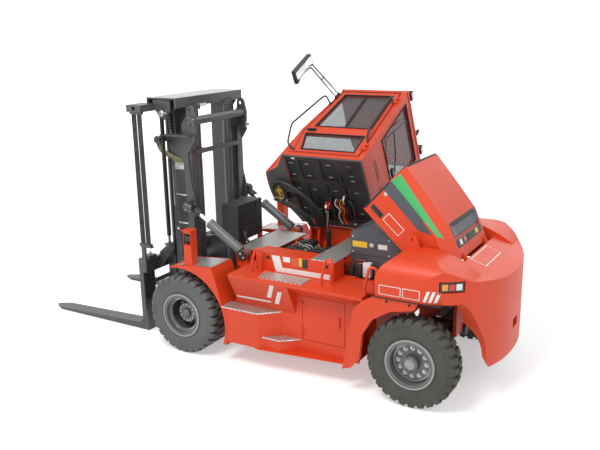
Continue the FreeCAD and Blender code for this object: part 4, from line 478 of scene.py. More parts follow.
def show_white(material):
    """The camera sees white where the floor is lit, and the shadow stays.

    The glow rises with distance from the truck, where the lamps give less light.
    """
    tree = material.node_tree
    surface = tree.nodes["Principled BSDF"].outputs["BSDF"]
    distance = make(tree, "VectorMath", "Value", {0: make(tree, "NewGeometry", "Position")},
                    operation="LENGTH")
    rise = make(tree, "MapRange", "Result", {"Value": distance, "From Min": GLOW_START, "From Max": GLOW_FULL,
                                             "To Min": FLOOR_GLOW, "To Max": FAR_GLOW},
                interpolation_type="SMOOTHSTEP")
    glow = make(tree, "Emission", "Emission", {"Strength": rise})
    white = make(tree, "AddShader", "Shader", {0: surface, 1: glow})
    shown = make(tree, "MixShader", "Shader", {"Fac": seen_directly(tree), 1: surface, 2: white})
    wire(tree, tree.nodes["Material Output"], {"Surface": shown})


bpy.ops.mesh.primitive_plane_add(size=80, location=FLOOR_PLACE)
floor = bpy.context.object
floor.name = "floor"
floor_paint = finish("floor_paint", (0.86, 0.86, 0.86), rough=0.7, dust=(0.84, 0.84, 0.84), dust_amount=0.2,
                     grain=4, bump=0.0)
show_white(floor_paint)
dress(floor, floor_paint)

world = bpy.data.worlds.new("sky")
bpy.context.scene.world = world
world.use_nodes = True
sky = world.node_tree
light = wire(sky, sky.nodes["Background"], {"Color": (0.94, 0.97, 1.0, 1), "Strength": SKY_LIGHT})
white = make(sky, "Background", "Background", {"Color": (1, 1, 1, 1), "Strength": SKY_SEEN})
shown = make(sky, "MixShader", "Shader", {"Fac": seen_directly(sky), 1: light.outputs["Background"],
                                          2: white})
wire(sky, sky.nodes["World Output"], {"Surface": shown})
print("floor and sky made")

# %% Lamps
AIM = Vector((-0.8, 0, 1.2))


def lamp(name, place, size, power, colour=(1, 1, 1)):
    """A square lamp that shines at the middle of the truck."""
    bpy.ops.object.light_add(type="AREA", location=place)
    lit = bpy.context.object
    lit.name = name
    lit.rotation_euler = (Vector(place) - AIM).to_track_quat("Z", "Y").to_euler()
    lit.data.size = size
    lit.data.energy = power
    lit.data.color = colour
    return lit


lamp("sun_lamp", (-1.5, 6.5, 9.5), 3.0, 580, (1, 0.98, 0.95))
lamp("fill_lamp", (-9, 3, 5), 5, 130)
lamp("front_lamp", (8, 4, 5), 5, 165)
lamp("far_lamp", (-2, -9, 6), 6, 165)
bpy.context.scene.view_settings.view_transform = "Standard"

# %% [markdown]
# ## Tyres
# A solid industrial tyre is a thick ring with a smooth side, a thin moulded line, and
# two rows of deep blocks that wrap over the shoulder. One ring and one block are made,
# the block is spun round the ring, and the whole tyre is copied to all six places.

# %% One tyre
TYRE_RADIUS = 0.52
TYRE_HALF = 0.139
GROOVE_RADIUS = 0.488
LUGS = 28
SHOULDER_RADIUS, TOP_SHARE = 0.505, 0.9
RING_STEPS = 84


def half_ring(side):
    return [(0.256, side * 0.118), (0.292, side * 0.121), (0.306, side * 0.129), (0.33, side * 0.1345),
            (0.395, side * 0.1375), (0.426, side * 0.1375), (0.429, side * 0.134), (0.434, side * 0.134),
            (0.437, side * 0.1375), (0.462, side * 0.135), (0.478, side * 0.126), (GROOVE_RADIUS, side * 0.1)]


def tyre_ring():
    profile = half_ring(-1) + half_ring(1)[::-1]
    return turned(profile, (0, 0, 0), (0, 1, 0), steps=RING_STEPS)


def lug(side, sweep, wide):
    """One tread block: a section over the shoulder, extruded round the rim and narrowed at its top."""
    section = [(0.484, 0.006), (0.5165, 0.009), (0.5185, 0.04), (0.5185, 0.098), (0.514, 0.112),
               (0.482, 0.1372), (0.457, 0.1378), (0.458, 0.131), (0.48, 0.118)]
    points = []
    for radius, across in section:
        lean = sweep * (across / TYRE_HALF)
        points.append((lean - wide / 2 - 0.006, side * across, radius))
    block_piece = plate(points, (wide, 0, 0))
    only(block_piece)
    corners = block_piece.data.vertices
    middle = sum(vertex.co.x for vertex in corners) / len(corners)
    for vertex in corners:
        if vertex.co.z > SHOULDER_RADIUS:
            vertex.co.x = middle + (vertex.co.x - middle) * TOP_SHARE
    use_modifier(block_piece, "BEVEL", width=0.003, segments=1, limit_method="ANGLE")
    return block_piece


def spun_copies(piece, count, start=0.0):
    """The piece repeated round the Y axis: spin with duplicates, in edit mode."""
    piece.data.transform(Matrix.Rotation(start, 4, "Y"))
    only(piece)
    bpy.ops.object.mode_set(mode="EDIT")
    bpy.ops.mesh.select_all(action="SELECT")
    bpy.ops.mesh.spin(steps=count - 1, dupli=True, angle=2 * math.pi * (count - 1) / count, center=(0, 0, 0),
                      axis=(0, 1, 0))
    bpy.ops.object.mode_set(mode="OBJECT")
    return piece


def tyre(name, sweep, wide):
    pitch = 2 * math.pi / LUGS
    rows = [spun_copies(lug(1, sweep, wide), LUGS), spun_copies(lug(-1, sweep, wide), LUGS, pitch / 2)]
    return fuse([tyre_ring(), *rows], name)


front_pattern = tyre("front_pattern", 0.02, 0.083)
rear_pattern = tyre("rear_pattern", 0.035, 0.076)
print("tyre triangles", sum(len(face.vertices) - 2 for face in front_pattern.data.polygons))

# %% Six tyres in their places
TWIN_SPACING = 0.32
for side, sign in SIDES:
    low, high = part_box("front_tyres_" + side)
    outer = (high.y if sign > 0 else low.y) - sign * TYRE_HALF
    axle_x = (low.x + high.x) / 2
    pair = [twin(front_pattern, Matrix.Translation((axle_x, y, TYRE_RADIUS)))
            for y in (outer, outer - sign * TWIN_SPACING)]
    tyres = settle(fuse(pair, "front_tread_" + side), "front_tread_" + side, "front_wheel_" + side,
                   FRONT_RUBBER, angle=30)
    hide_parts("front_tyres_" + side)
    low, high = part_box("rear_tyre_" + side)
    place = Matrix.Translation(((low.x + high.x) / 2, (low.y + high.y) / 2, TYRE_RADIUS))
    rear = settle(twin(rear_pattern, place), "rear_tread_" + side, "rear_wheel_" + side, REAR_RUBBER,
                  angle=30)
    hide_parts("rear_tyre_" + side)
for pattern in (front_pattern, rear_pattern):
    bpy.data.objects.remove(pattern)
print("tyres dressed")

# %% [markdown]
# ## Marks, bolts and tipped parts
# The cab and the hood are drawn as if they were shut, and then turned open with the
# same hinge that the joints use. A mark is a fine sheet pressed on to the part below it.

# %% Helpers for marks, bolts and tipped parts


def hinge_move(name):
    """The turn that takes a part from shut to the open rest pose."""
    joint = joints[name]
    hinge = Vector(joint["pos_m"])
    turn = Matrix.Rotation(-math.radians(joint["range_deg"][0]), 4, Vector(joint["axis"]))
    return Matrix.Translation(hinge) @ turn @ Matrix.Translation(-hinge)


CAB_OPEN = hinge_move("cab_tilt")
HOOD_OPEN = hinge_move("hood_lift")
OPENING = {"cab": CAB_OPEN, "cab_door": CAB_OPEN, "hood": HOOD_OPEN}
SHEET = 0.001
LIFT, TOP_LIFT = 0.0012, 0.003
REACH = 0.35
LABEL_EDGE = 0.008


def add(pieces, name, body, paint, move=None, angle=35):
    """Joins pieces, turns them open where their body is open, and settles them."""
    piece = fuse(pieces, name) if isinstance(pieces, list) else pieces
    bake_place(piece)
    if move is None:
        move = OPENING.get(body, Matrix.Identity(4))
    piece.data.transform(move)
    return settle(piece, name, body, paint, angle)


def mark(corners, node, name, paint, steps=(12, 6), lift=LIFT, slot=None):
    """A thin sheet between four corners, pressed straight on to a node and made solid."""
    bpy.ops.mesh.primitive_grid_add(x_subdivisions=steps[0], y_subdivisions=steps[1], size=2)
    piece = bpy.context.object
    body = "hood" if node == "hood" else "chassis"
    move = OPENING.get(body, Matrix.Identity(4))
    first, second, third, fourth = (move @ Vector(corner) for corner in corners)
    for vertex in piece.data.vertices:
        along, across = (vertex.co.x + 1) / 2, (vertex.co.y + 1) / 2
        vertex.co = first.lerp(second, along).lerp(fourth.lerp(third, along), across)
    use_modifier(piece, "SHRINKWRAP", target=nodes[node], wrap_method="PROJECT", use_negative_direction=True,
                 use_positive_direction=True, offset=lift, project_limit=REACH)
    use_modifier(piece, "SOLIDIFY", thickness=SHEET, offset=0)
    return settle(piece, name, body, paint)


def side_mark(corners, y, *what, **how):
    """A mark on a flank, from the (x, z) corners of its outline."""
    return mark([(x, y, z) for x, z in corners], *what, **how)


def box_corners(x0, x1, high, low, edge=0.0):
    """The (x, z) corners of a rectangle that stands on a flank, inset by an edge."""
    front, rear = x0 - edge, x1 + edge
    return [(front, high - edge), (rear, high - edge), (rear, low + edge), (front, low + edge)]


def label(box, y, node, name, field_name, steps):
    """A blank plate on a flank: a white border with a body-coloured field on it."""
    side_mark(box_corners(*box), y, node, name, WHITE, steps)
    side_mark(box_corners(*box, LABEL_EDGE), y, node, field_name, ORANGE, steps, TOP_LIFT)


def flank_block(sign, low, high, edge=0.004):
    """A block on the left flank, or its mirror image on the right one."""
    inner, outer = sorted((sign * low[1], sign * high[1]))
    return block((low[0], inner, low[2]), (high[0], outer, high[2]), edge)


def bolt_head(place, axis, size=0.012):
    """A washer with a six-sided head on it."""
    place, axis = Vector(place), Vector(axis).normalized()
    washer = rod(place, place + axis * size * 0.3, size * 1.35, 16)
    head = rod(place + axis * size * 0.3, place + axis * size, size, 6, edge=size * 0.12)
    return fuse([washer, head], "bolt_head")


def bolts(places, axis, size=0.012):
    """Bolt heads of one size at several places."""
    first = bolt_head((0, 0, 0), axis, size)
    heads = [twin(first, Matrix.Translation(Vector(place))) for place in places]
    bpy.data.objects.remove(first)
    return fuse(heads, "bolts")


def ring_places(centre, radius, count, start=0.0):
    """Places evenly round a wheel or a boss, on a ring that faces sideways."""
    turns = [Matrix.Rotation(start + 2 * math.pi * place / count, 4, "Y") for place in range(count)]
    return [Vector(centre) + turn @ Vector((0, 0, radius)) for turn in turns]


def frame_loop(points, radius):
    """A rubber strip that runs round a window."""
    return bent(points, radius, 8, smooth=False, closed=True)


def disc(profile, place, sign, steps=32):
    """A turned part whose axis points out of one flank."""
    return turned(profile, place, (0, sign, 0), steps)


print("hinges", [round(value, 3) for value in CAB_OPEN.translation])

# %% [markdown]
# ## Wheels
# The front wheels are deep dishes with a bolted hub far inside. The rear wheels have a
# shallow dish, a ring of bright nuts and a round cap. Each rim has a bright lip.

# %% Nuts, hub bolts and rim lips
NUT_RING, HUB_RING, DISH_RING, CAP_RING = 0.166, 0.108, 0.2, 0.052
FRONT_DISH_Y, REAR_DISH_Y = 0.947, 1.089
LIP = [(0.268, 0.0), (0.268, 0.006), (0.279, 0.0085), (0.289, 0.006), (0.2925, 0.0), (0.289, -0.003)]
FRONT_STEP = [(0.2, -0.02), (0.245, -0.02), (0.252, 0.0), (0.252, 0.02), (0.236, 0.02), (0.23, -0.004),
              (0.2, -0.004)]
REAR_STEP = [(0.196, 0.0), (0.202, 0.012), (0.226, 0.012), (0.234, 0.0)]
HUB_COVER = [(0.0, 0.0), (0.128, 0.0), (0.134, -0.006), (0.134, -0.03), (0.0, -0.03)]
HUB_KNOB = [(0.0, 0.034), (0.05, 0.034), (0.058, 0.026), (0.06, 0.0), (0.0, 0.0)]
HUB_CAP = [(0.0, 0.012), (0.046, 0.012), (0.06, 0.004), (0.066, -0.012), (0.0, -0.012)]


def rim_place(name, sign):
    """Where a rim's axle is along the truck, and how far out its face is."""
    low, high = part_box(name)
    return (low.x + high.x) / 2, high.y if sign > 0 else low.y


for side, sign in SIDES:
    out, wheel = (0, sign, 0), "front_wheel_" + side
    face = rim_place("front_twin_rim_" + side, sign)[1]
    rings = [disc(LIP, (0, face, TYRE_RADIUS), sign, 64),
             disc(FRONT_STEP, (0, face - sign * 0.06, TYRE_RADIUS), sign, 64)]
    add(rings, "front_rim_lip_" + side, wheel, RIM_LIP)
    hub = (0, face - sign * 0.124, TYRE_RADIUS)
    add([disc(HUB_COVER, hub, sign), disc(HUB_KNOB, hub, sign)], "front_hub_" + side, wheel, RIM)
    heads = bolts(ring_places(hub, HUB_RING, 12), out, 0.011)
    nuts = bolts(ring_places((0, sign * FRONT_DISH_Y, TYRE_RADIUS), DISH_RING, 12, start=0.2), out, 0.019)
    add([heads, nuts], "front_nuts_" + side, wheel, STEEL, angle=25)

    wheel = "rear_wheel_" + side
    axle_x, face = rim_place("rear_rim_" + side, sign)
    centre = Vector((axle_x, sign * REAR_DISH_Y, TYRE_RADIUS))
    rings = [disc(LIP, (axle_x, face, TYRE_RADIUS), sign, 64), disc(REAR_STEP, centre, sign, 64)]
    add(rings, "rear_rim_lip_" + side, wheel, RIM_LIP)
    nuts = bolts(ring_places(centre, NUT_RING, 12), out, 0.02)
    first = rod(centre, centre + Vector((0, sign * 0.034, 0)), 0.009, 10, edge=0.001)
    studs = [twin(first, Matrix.Translation(place - centre)) for place in ring_places(centre, NUT_RING, 12)]
    bpy.data.objects.remove(first)
    add([nuts, *studs], "rear_nuts_" + side, wheel, STEEL, angle=25)
    centre.y += sign * 0.085
    cap = disc(HUB_CAP, centre, sign)
    heads = bolts(ring_places(centre + Vector((0, sign * 0.004, 0)), CAP_RING, 6), out, 0.006)
    add([cap, heads], "rear_cap_" + side, wheel, RIM_LIP, angle=30)
print("wheels finished")

# %% [markdown]
# ## Cab
# Black rubber runs round every window. The upper side window has a slanted bar across it.
# Bent grab bars stand beside the door, and a wiper lies across the rear window.

# %% Window rubbers and the cab's small parts
SIDE_Y = 0.656
LOW_WINDOW = [(-1.795, 1.62), (-1.03, 1.62), (-0.925, 1.975), (-1.795, 1.975)]
HIGH_WINDOW = [(-1.808, 2.15), (-0.985, 2.15), (-1.08, 2.95), (-1.808, 2.95)]
REAR_WINDOW = [(-0.389, 2.09), (0.53, 2.09), (0.53, 2.96), (-0.389, 2.96)]
REAR_X = -1.965
RIGHT_Y = -0.511


def side_loop(window, y):
    return frame_loop([(x, y, z) for x, z in window], 0.013)


door_rubbers = [side_loop(LOW_WINDOW, SIDE_Y), side_loop(HIGH_WINDOW, SIDE_Y)]
door_rubbers.append(rod((-1.405, SIDE_Y - 0.006, 2.945), (-1.421, SIDE_Y - 0.006, 2.155), 0.013, 8))
door_rubbers.append(frame_loop([(-1.885, 0.654, 1.56), (-0.935, 0.654, 1.56), (-0.865, 0.654, 2.02),
                                (-1.0, 0.654, 3.045), (-1.885, 0.654, 3.045)], 0.006))
add(door_rubbers, "door_window_rubbers", "cab_door", SEAL)
right_rubbers = [side_loop(LOW_WINDOW, RIGHT_Y), side_loop(HIGH_WINDOW, RIGHT_Y)]
add(right_rubbers, "right_window_rubbers", "cab", SEAL)
rear_rubber = frame_loop([(REAR_X, y, z) for y, z in REAR_WINDOW], 0.013)
add(rear_rubber, "rear_window_rubber", "cab", SEAL)

# %% Grab bars and door handle
front_bar = bent([(-0.93, 0.645, 1.604), (-0.87, 0.69, 1.62), (-0.809, 0.7, 1.674), (-0.735, 0.705, 1.87),
                  (-0.662, 0.71, 2.07), (-0.655, 0.71, 2.13), (-0.672, 0.71, 2.2), (-0.728, 0.705, 2.5),
                  (-0.79, 0.7, 2.81), (-0.82, 0.7, 2.85), (-0.88, 0.69, 2.79), (-0.945, 0.645, 2.721)],
                 0.0135, 12)
front_feet = bolts([(-0.93, 0.648, 1.604), (-0.945, 0.648, 2.721)], (0, 1, 0), 0.02)
add([front_bar, front_feet], "cab_grab_bar_front", "cab", PLASTIC)
rear_bar = bent([(-1.862, 0.65, 2.781), (-1.862, 0.69, 2.8), (-1.835, 0.705, 2.86), (-1.815, 0.71, 2.84),
                 (-1.818, 0.71, 2.5), (-1.82, 0.71, 2.13), (-1.835, 0.705, 2.03), (-1.86, 0.69, 1.92),
                 (-1.872, 0.65, 1.873)], 0.0135, 12)
add(rear_bar, "cab_grab_bar_rear", "cab_door", PLASTIC)
handle_plate = block((-1.048, 0.652, 2.03), (-0.905, 0.662, 2.09), 0.004)
handle_pull = block((-1.04, 0.66, 2.04), (-0.935, 0.69, 2.062), 0.006)
lock_button = rod((-0.918, 0.66, 2.06), (-0.918, 0.676, 2.06), 0.011, 16, edge=0.002)
add([handle_plate, handle_pull, lock_button], "cab_door_handle", "cab_door", PLASTIC)

# %% Wiper, louvres and rear lamps
arm = bent([(-1.985, -0.054, 2.225), (-2.01, 0.1, 2.275), (-2.01, 0.3, 2.34), (-2.0, 0.467, 2.397)], 0.009, 8)
blade = bent([(-1.992, 0.355, 2.816), (-1.996, 0.41, 2.6), (-1.998, 0.467, 2.397), (-1.992, 0.5, 2.2)], 0.01,
             8)
pivot = rod((-1.96, -0.054, 2.225), (-2.0, -0.054, 2.225), 0.024, 16, edge=0.003)
motor_cover = block((-2.0, -0.16, 2.13), (-1.962, 0.02, 2.2), 0.01)
add([arm, blade, pivot, motor_cover], "rear_wiper", "cab", PLASTIC)
louvres = [block((-1.966, low_y, z), (-1.958, low_y + 0.32, z + 0.012), 0.003)
           for low_y in (-0.32, 0.12) for z in (1.76, 1.8)]
add(louvres, "rear_louvres", "cab", SEAL)
lamp_parts, lens_parts = [], []
for y in (0.528, -0.379):
    lamp_parts.append(block((-1.99, y - 0.062, 3.142), (-1.915, y + 0.062, 3.232), 0.012))
    lamp_parts.append(block((-1.955, y - 0.02, 3.1), (-1.935, y + 0.02, 3.15), 0.003))
    lens_parts.append(block((-1.995, y - 0.052, 3.152), (-1.986, y + 0.052, 3.222)))
lamp_parts.append(block((-1.975, -0.105, 3.13), (-1.935, -0.055, 3.24), 0.008))
add(lamp_parts, "cab_rear_lamps", "cab", PLASTIC)
add(lens_parts, "cab_rear_lenses", "cab", CLEAR_LENS)
BOWL = [(0.0, 0.0), (0.03, 0.002), (0.055, 0.012), (0.062, 0.04), (0.05, 0.07), (0.0, 0.08)]
front_lamps = [turned(BOWL, (-0.985, y, 3.19), (-1, 0, 0), 24) for y in (0.52, -0.38)]
add(front_lamps, "cab_front_lamps", "cab", PLASTIC)
beacon_base = turned([(0.0, 0.0), (0.05, 0.0), (0.05, 0.02), (0.036, 0.03), (0.0, 0.03)], (-1.72, -0.3, 3.13),
                     (0, 0, 1), 24)
beacon = turned([(0.0, 0.03), (0.034, 0.03), (0.042, 0.045), (0.042, 0.085), (0.03, 0.108), (0.0, 0.114)],
                (-1.72, -0.3, 3.13), (0, 0, 1), 24)
add(beacon_base, "beacon_base", "cab", PLASTIC)
add(beacon, "beacon_lens", "cab", AMBER)

# %% Mirror
MIRROR_LOW, MIRROR_HIGH = Vector((-0.53, 0.97, 2.685)), Vector((-0.47, 1.155, 3.19))
shell = block(MIRROR_LOW + Vector((0.012, -0.004, -0.004)), MIRROR_HIGH + Vector((0.004, 0.004, 0.004)), 0.02)
add(shell, "mirror_shell", "cab", PLASTIC)
face_glass = block(MIRROR_LOW + Vector((-0.003, 0.012, 0.014)),
                   (MIRROR_LOW.x + 0.004, MIRROR_HIGH.y - 0.012, MIRROR_HIGH.z - 0.014), 0.003)
add(face_glass, "mirror_face", "cab", MIRROR_GLASS)
print("cab finished")

# %% [markdown]
# ## Seat
# The seat is foam under woven cloth: a crowned cushion and a crowned back, each with two
# sewn channels and a cord round its edge, on a folded rubber skirt.

# %% Cushions on the seat
SEAT_Y = 0.0705
CHANNELS = (-0.1, 0.1)
SWELL_LIMIT, SWELL_FORCE, SWELL_FRAMES = 0.016, 4, 20
CROWN, PULL, VOXEL = 0.02, 0.035, 0.01
CHANNEL_WIDE, CHANNEL_DEEP = 0.012, 0.01
CORD_INSET, CORD_RADIUS = 0.985, 0.005
CORD_PLACES = ((1, -0.8), (1, 0.8), (0.8, 1), (-0.8, 1), (-1, 0.8), (-1, -0.8), (-0.8, -1), (0.8, -1))


def swell(piece):
    """Air pressure rounds the cover as stuffing would, and no point goes far."""
    before = [vertex.co.copy() for vertex in piece.data.vertices]
    cover = piece.modifiers.new("cover", "CLOTH")
    cover.settings.use_pressure = True
    cover.settings.uniform_pressure_force = SWELL_FORCE
    cover.settings.effector_weights.gravity = 0
    cover.point_cache.frame_end = SWELL_FRAMES
    for frame_now in range(1, SWELL_FRAMES + 1):
        bpy.context.scene.frame_set(frame_now)
    only(piece)
    bpy.ops.object.modifier_apply(modifier=cover.name)
    bpy.context.scene.frame_set(1)
    for vertex, start in zip(piece.data.vertices, before):
        move = vertex.co - start
        if move.length > SWELL_LIMIT:
            vertex.co = start + move.normalized() * SWELL_LIMIT


def cushion(size, name, place):
    """A crowned pad: sides pulled in between the corners, sewn channels, a cord on its edge."""
    half = Vector(size) / 2
    piece = block(-half, half, 0.03)
    use_modifier(piece, "REMESH", mode="VOXEL", voxel_size=VOXEL)
    for vertex in piece.data.vertices:
        along, across, up = (vertex.co[axis] / half[axis] for axis in range(3))
        vertex.co.x *= 1 - PULL * (1 - across ** 2)
        vertex.co.y *= 1 - PULL * (1 - along ** 2)
        if up > 0:
            groove = sum(math.exp(-((vertex.co.y - line) / CHANNEL_WIDE) ** 2) for line in CHANNELS)
            vertex.co.z += up * ((1 - along ** 2) * (1 - across ** 2) * CROWN - CHANNEL_DEEP * groove)
    swell(piece)
    use_modifier(piece, "SUBSURF", levels=1, render_levels=1)
    add(piece, name, "cab", CLOTH, place)
    edge = [(x * half.x * CORD_INSET, y * half.y * CORD_INSET, 0.0) for x, y in CORD_PLACES]
    add(bent(edge, CORD_RADIUS, 8, closed=True), name + "_cord", "cab", SEAL, place)


bottom = CAB_OPEN @ Matrix.Translation((-1.4, SEAT_Y, 1.832))
cushion((0.42, 0.47, 0.09), "seat_cushion", bottom)
lean = math.radians(6.2)
upright = Matrix(((-math.sin(lean), 0, math.cos(lean)), (0, -1, 0),
                  (math.cos(lean), 0, math.sin(lean)))).to_4x4()
rest_back = CAB_OPEN @ Matrix.Translation((-1.705, SEAT_Y, 2.2)) @ upright
cushion((0.61, 0.43, 0.07), "seat_back", rest_back)
folds = []
for step in range(8):
    half_wide = 0.155 if step % 2 else 0.13
    folds.append(block((-1.445 - half_wide, SEAT_Y - half_wide, 1.546 + 0.03 * step),
                       (-1.445 + half_wide, SEAT_Y + half_wide, 1.576 + 0.03 * step), 0.008))
add(folds, "seat_skirt", "cab", SEAL)
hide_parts("seat")
print("seat finished")

# %% [markdown]
# ## Hood and battery
# The hood has a green wedge and a slate wedge on each side, a lift handle, a blank plate
# and a black seal along its front edge. Its rear slope holds a slate plate with a black
# border, and below it a black strip of painted shade, where the orange recess lies in shadow,
# with small coloured plates on it.

# %% Hood marks
HOOD_HANDLE_Y = 0.611
for side, sign in SIDES:
    y = sign * 0.66
    green = [(-2.293, 1.755), (-3.14, 1.613), (-3.09, 1.584), (-2.282, 1.642)]
    slate = [(-2.282, 1.65), (-3.085, 1.588), (-2.885, 1.471), (-2.274, 1.5)]
    side_mark(green, y, "hood", "hood_green_" + side, GREEN, (24, 4), 0.006)
    side_mark(slate, y, "hood", "hood_slate_" + side, SLATE, (24, 4))
    label((-2.516, -2.775, 1.35, 1.236), y, "hood", "hood_label_" + side, "hood_label_field_" + side, (8, 4))
    near, far = sign * HOOD_HANDLE_Y, sign * (HOOD_HANDLE_Y + 0.03)
    recess = block((-2.49, near - 0.004, 1.222), (-2.314, near + 0.004, 1.288), 0.003)
    pull = bent([(-2.47, near, 1.255), (-2.46, far, 1.255), (-2.34, far, 1.255), (-2.33, near, 1.255)], 0.009)
    add([recess, pull], "hood_handle_" + side, "hood", PLASTIC)
    latch = block((-2.36, sign * 0.612 - 0.006, 1.46), (-2.318, sign * 0.612 + 0.006, 1.5))
    add(latch, "hood_latch_" + side, "hood", STEEL)

front_edge = bent([(-2.276, -0.604, 1.17), (-2.276, -0.604, 1.6), (-2.274, -0.57, 1.7), (-2.27, -0.497, 1.79),
                   (-2.267, -0.44, 1.829), (-2.267, 0.44, 1.829), (-2.27, 0.497, 1.79), (-2.274, 0.57, 1.7),
                   (-2.276, 0.604, 1.6), (-2.276, 0.604, 1.17)], 0.014, 10, smooth=False)
add(front_edge, "hood_front_seal", "hood", SEAL)


SLOPE_TOP_X, SLOPE_TOP_Z, SLOPE_RISE = -3.085, 1.78, 0.36


def slope_mark(x0, x1, y0, y1, name, paint, lift=TOP_LIFT, steps=(2, 2), slot=None):
    """A thin sheet on the hood's rear slope between two lines across and two lines along."""
    high, low = (SLOPE_TOP_Z + (x - SLOPE_TOP_X) * SLOPE_RISE for x in (x0, x1))
    corners = [(x0, y1, high), (x0, y0, high), (x1, y0, low), (x1, y1, low)]
    return mark(corners, "hood", name, paint, steps, lift, slot)


slope_mark(-3.075, -3.245, -0.45, 0.45, "hood_rear_border", SEAL, LIFT, (10, 6))
slope_mark(-3.087, -3.233, -0.438, 0.438, "hood_rear_plate", SLATE, TOP_LIFT, (10, 6))
# Painted shade: this black strip stands where the orange face of the recess below the plate lies in shadow.
slope_mark(-3.262, -3.36, -0.44, 0.44, "hood_painted_shade_strip", FRAME, LIFT, (10, 6))
slope_mark(-3.285, -3.34, 0.26, 0.335, "hood_strip_white", WHITE)
slope_mark(-3.285, -3.34, 0.13, 0.19, "hood_strip_red", RED_LENS, slot="body_orange")
slope_mark(-3.275, -3.35, 0.05, 0.074, "hood_strip_slot", SEAL)
slope_mark(-3.285, -3.34, -0.31, -0.21, "hood_strip_yellow", YELLOW)
print("hood finished")

# %% Battery marks and lid seam
for side, sign in SIDES:
    y = sign * 0.5
    yellow, white = box_corners(-2.085, -2.277, 1.606, 1.534), box_corners(-2.418, -2.535, 1.598, 1.54)
    side_mark(yellow, y, "battery_pack", "battery_yellow_" + side, YELLOW, slot="slate")
    side_mark(white, y, "battery_pack", "battery_white_" + side, WHITE, slot="slate")
battery_low, battery_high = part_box("battery_pack")
side_y = battery_high.y
SEAM_LOW, SEAM_HIGH, SEAM_INSET = 1.44, 1.446, 0.02
seams = []
for side, sign in SIDES:
    seams.append(block((battery_low.x + SEAM_INSET, sign * side_y - 0.002, SEAM_LOW),
                       (battery_high.x - SEAM_INSET, sign * side_y + 0.002, SEAM_HIGH), 0.0))
seams.append(block((battery_high.x - 0.002, SEAM_INSET - side_y, SEAM_LOW),
                   (battery_high.x + 0.002, side_y - SEAM_INSET, SEAM_HIGH), 0.0))
add(seams, "battery_lid_seam", "chassis", SEAL)
socket = turned([(0.0, 0.0), (0.03, 0.0), (0.03, 0.016), (0.018, 0.022), (0.0, 0.022)],
                (-2.34, side_y, 1.572), (0, 1, 0), 24)
corner_bolts = bolts([(x, side_y, z) for x in (-2.09, -2.56) for z in (1.47, 1.66)], (0, 1, 0), 0.009)
top_bolts = bolts([(x, y, battery_high.z) for x in (-2.1, -2.5, -2.9) for y in (-0.4, 0.4)], (0, 0, 1), 0.01)
add([socket, corner_bolts, top_bolts], "battery_fittings", "chassis", STEEL)
top = battery_high.z
grips = [bent([(x, -0.1, top), (x, -0.09, top + 0.045), (x, 0.09, top + 0.045), (x, 0.1, top)], 0.009)
         for x in (-2.2, -2.75)]
add(grips, "battery_lift_grips", "chassis", PLASTIC)
print("battery finished")

# %% [markdown]
# ## Counterweight
# Three white slanted stripes and blank plates lie on its side. Its tail lamps have an
# amber, a red and a clear lens, and plugged holes run along the casting's seam.

# %% Counterweight marks, plugs and tail lamps
WEIGHT_FACE, WEIGHT_TOP = 1.22, 1.6
STRIPE_FRONT, STRIPE_STEP, STRIPE_WIDE, STRIPE_LEAN = -3.268, 0.056, 0.032, 0.042
LABELS = [(-2.768, -3.02), (-3.04, -3.235)]
for side, sign in SIDES:
    y = sign * WEIGHT_FACE
    for count in range(3):
        front_x = STRIPE_FRONT - STRIPE_STEP * count
        rear_x = front_x - STRIPE_WIDE
        stripe = [(front_x - STRIPE_LEAN, 1.4), (rear_x - STRIPE_LEAN, 1.4), (rear_x, 1.28), (front_x, 1.28)]
        side_mark(stripe, y, "counterweight", "weight_stripe_%d_%s" % (count, side), WHITE, (6, 4))
    for count, ends in enumerate(LABELS):
        place = "_%d_%s" % (count, side)
        label((*ends, 1.395, 1.288), y, "counterweight", "weight_label" + place, "weight_field" + place,
              (12, 4))
    seam = box_corners(-2.66, -3.47, 1.258, 1.252)
    side_mark(seam, y, "counterweight", "weight_seam_" + side, SEAL, (24, 1))
for inset, name, paint, lift in ((0.0, "weight_top_label", WHITE, LIFT),
                                 (0.01, "weight_top_field", ORANGE, TOP_LIFT)):
    front, rear, left, right = -3.51 - inset, -3.69 + inset, 0.37 - inset, -0.22 + inset
    mark([(front, left, WEIGHT_TOP), (front, right, WEIGHT_TOP), (rear, right, WEIGHT_TOP),
          (rear, left, WEIGHT_TOP)], "counterweight", name, paint, lift=lift)

LAMP_TURN = math.radians(36)
LAMP_X, LAMP_Y = -3.54, 1.072
LENSES = ((-0.108, "amber", AMBER), (-0.032, "red", RED_LENS), (0.044, "clear", CLEAR_LENS))
LENS_WIDE = 0.064
for side, sign in SIDES:
    turn = Matrix.Rotation(sign * (math.pi / 2 + LAMP_TURN), 4, "Z")
    turn = Matrix.Translation((LAMP_X, sign * LAMP_Y, 0)) @ turn
    for start, tint, paint in LENSES:
        lens = block((-0.004, start, 1.413), (0.008, start + LENS_WIDE, 1.482), 0.003)
        add(lens, "tail_lens_%s_%s" % (tint, side), "chassis", paint, turn)
plugs = [rod((x, sign * 1.197, 1.215), (x, sign * 1.203, 1.215), 0.017, 20, edge=0.002)
         for side, sign in SIDES for x in (-2.86, -3.12)]
add(plugs, "weight_plugs", "chassis", SEAL)
add(block((-3.5, -0.5, 1.225), (-3.09, 0.5, 1.235), 0.003), "notch_floor", "chassis", FRAME)
print("counterweight finished")

# %% [markdown]
# ## Mast
# Eight round hoses hang from the beam's arm in two groups. Five more run down the outside
# of the rail under a khaki wrap and two clamps. The beam has a bright tread on its top.

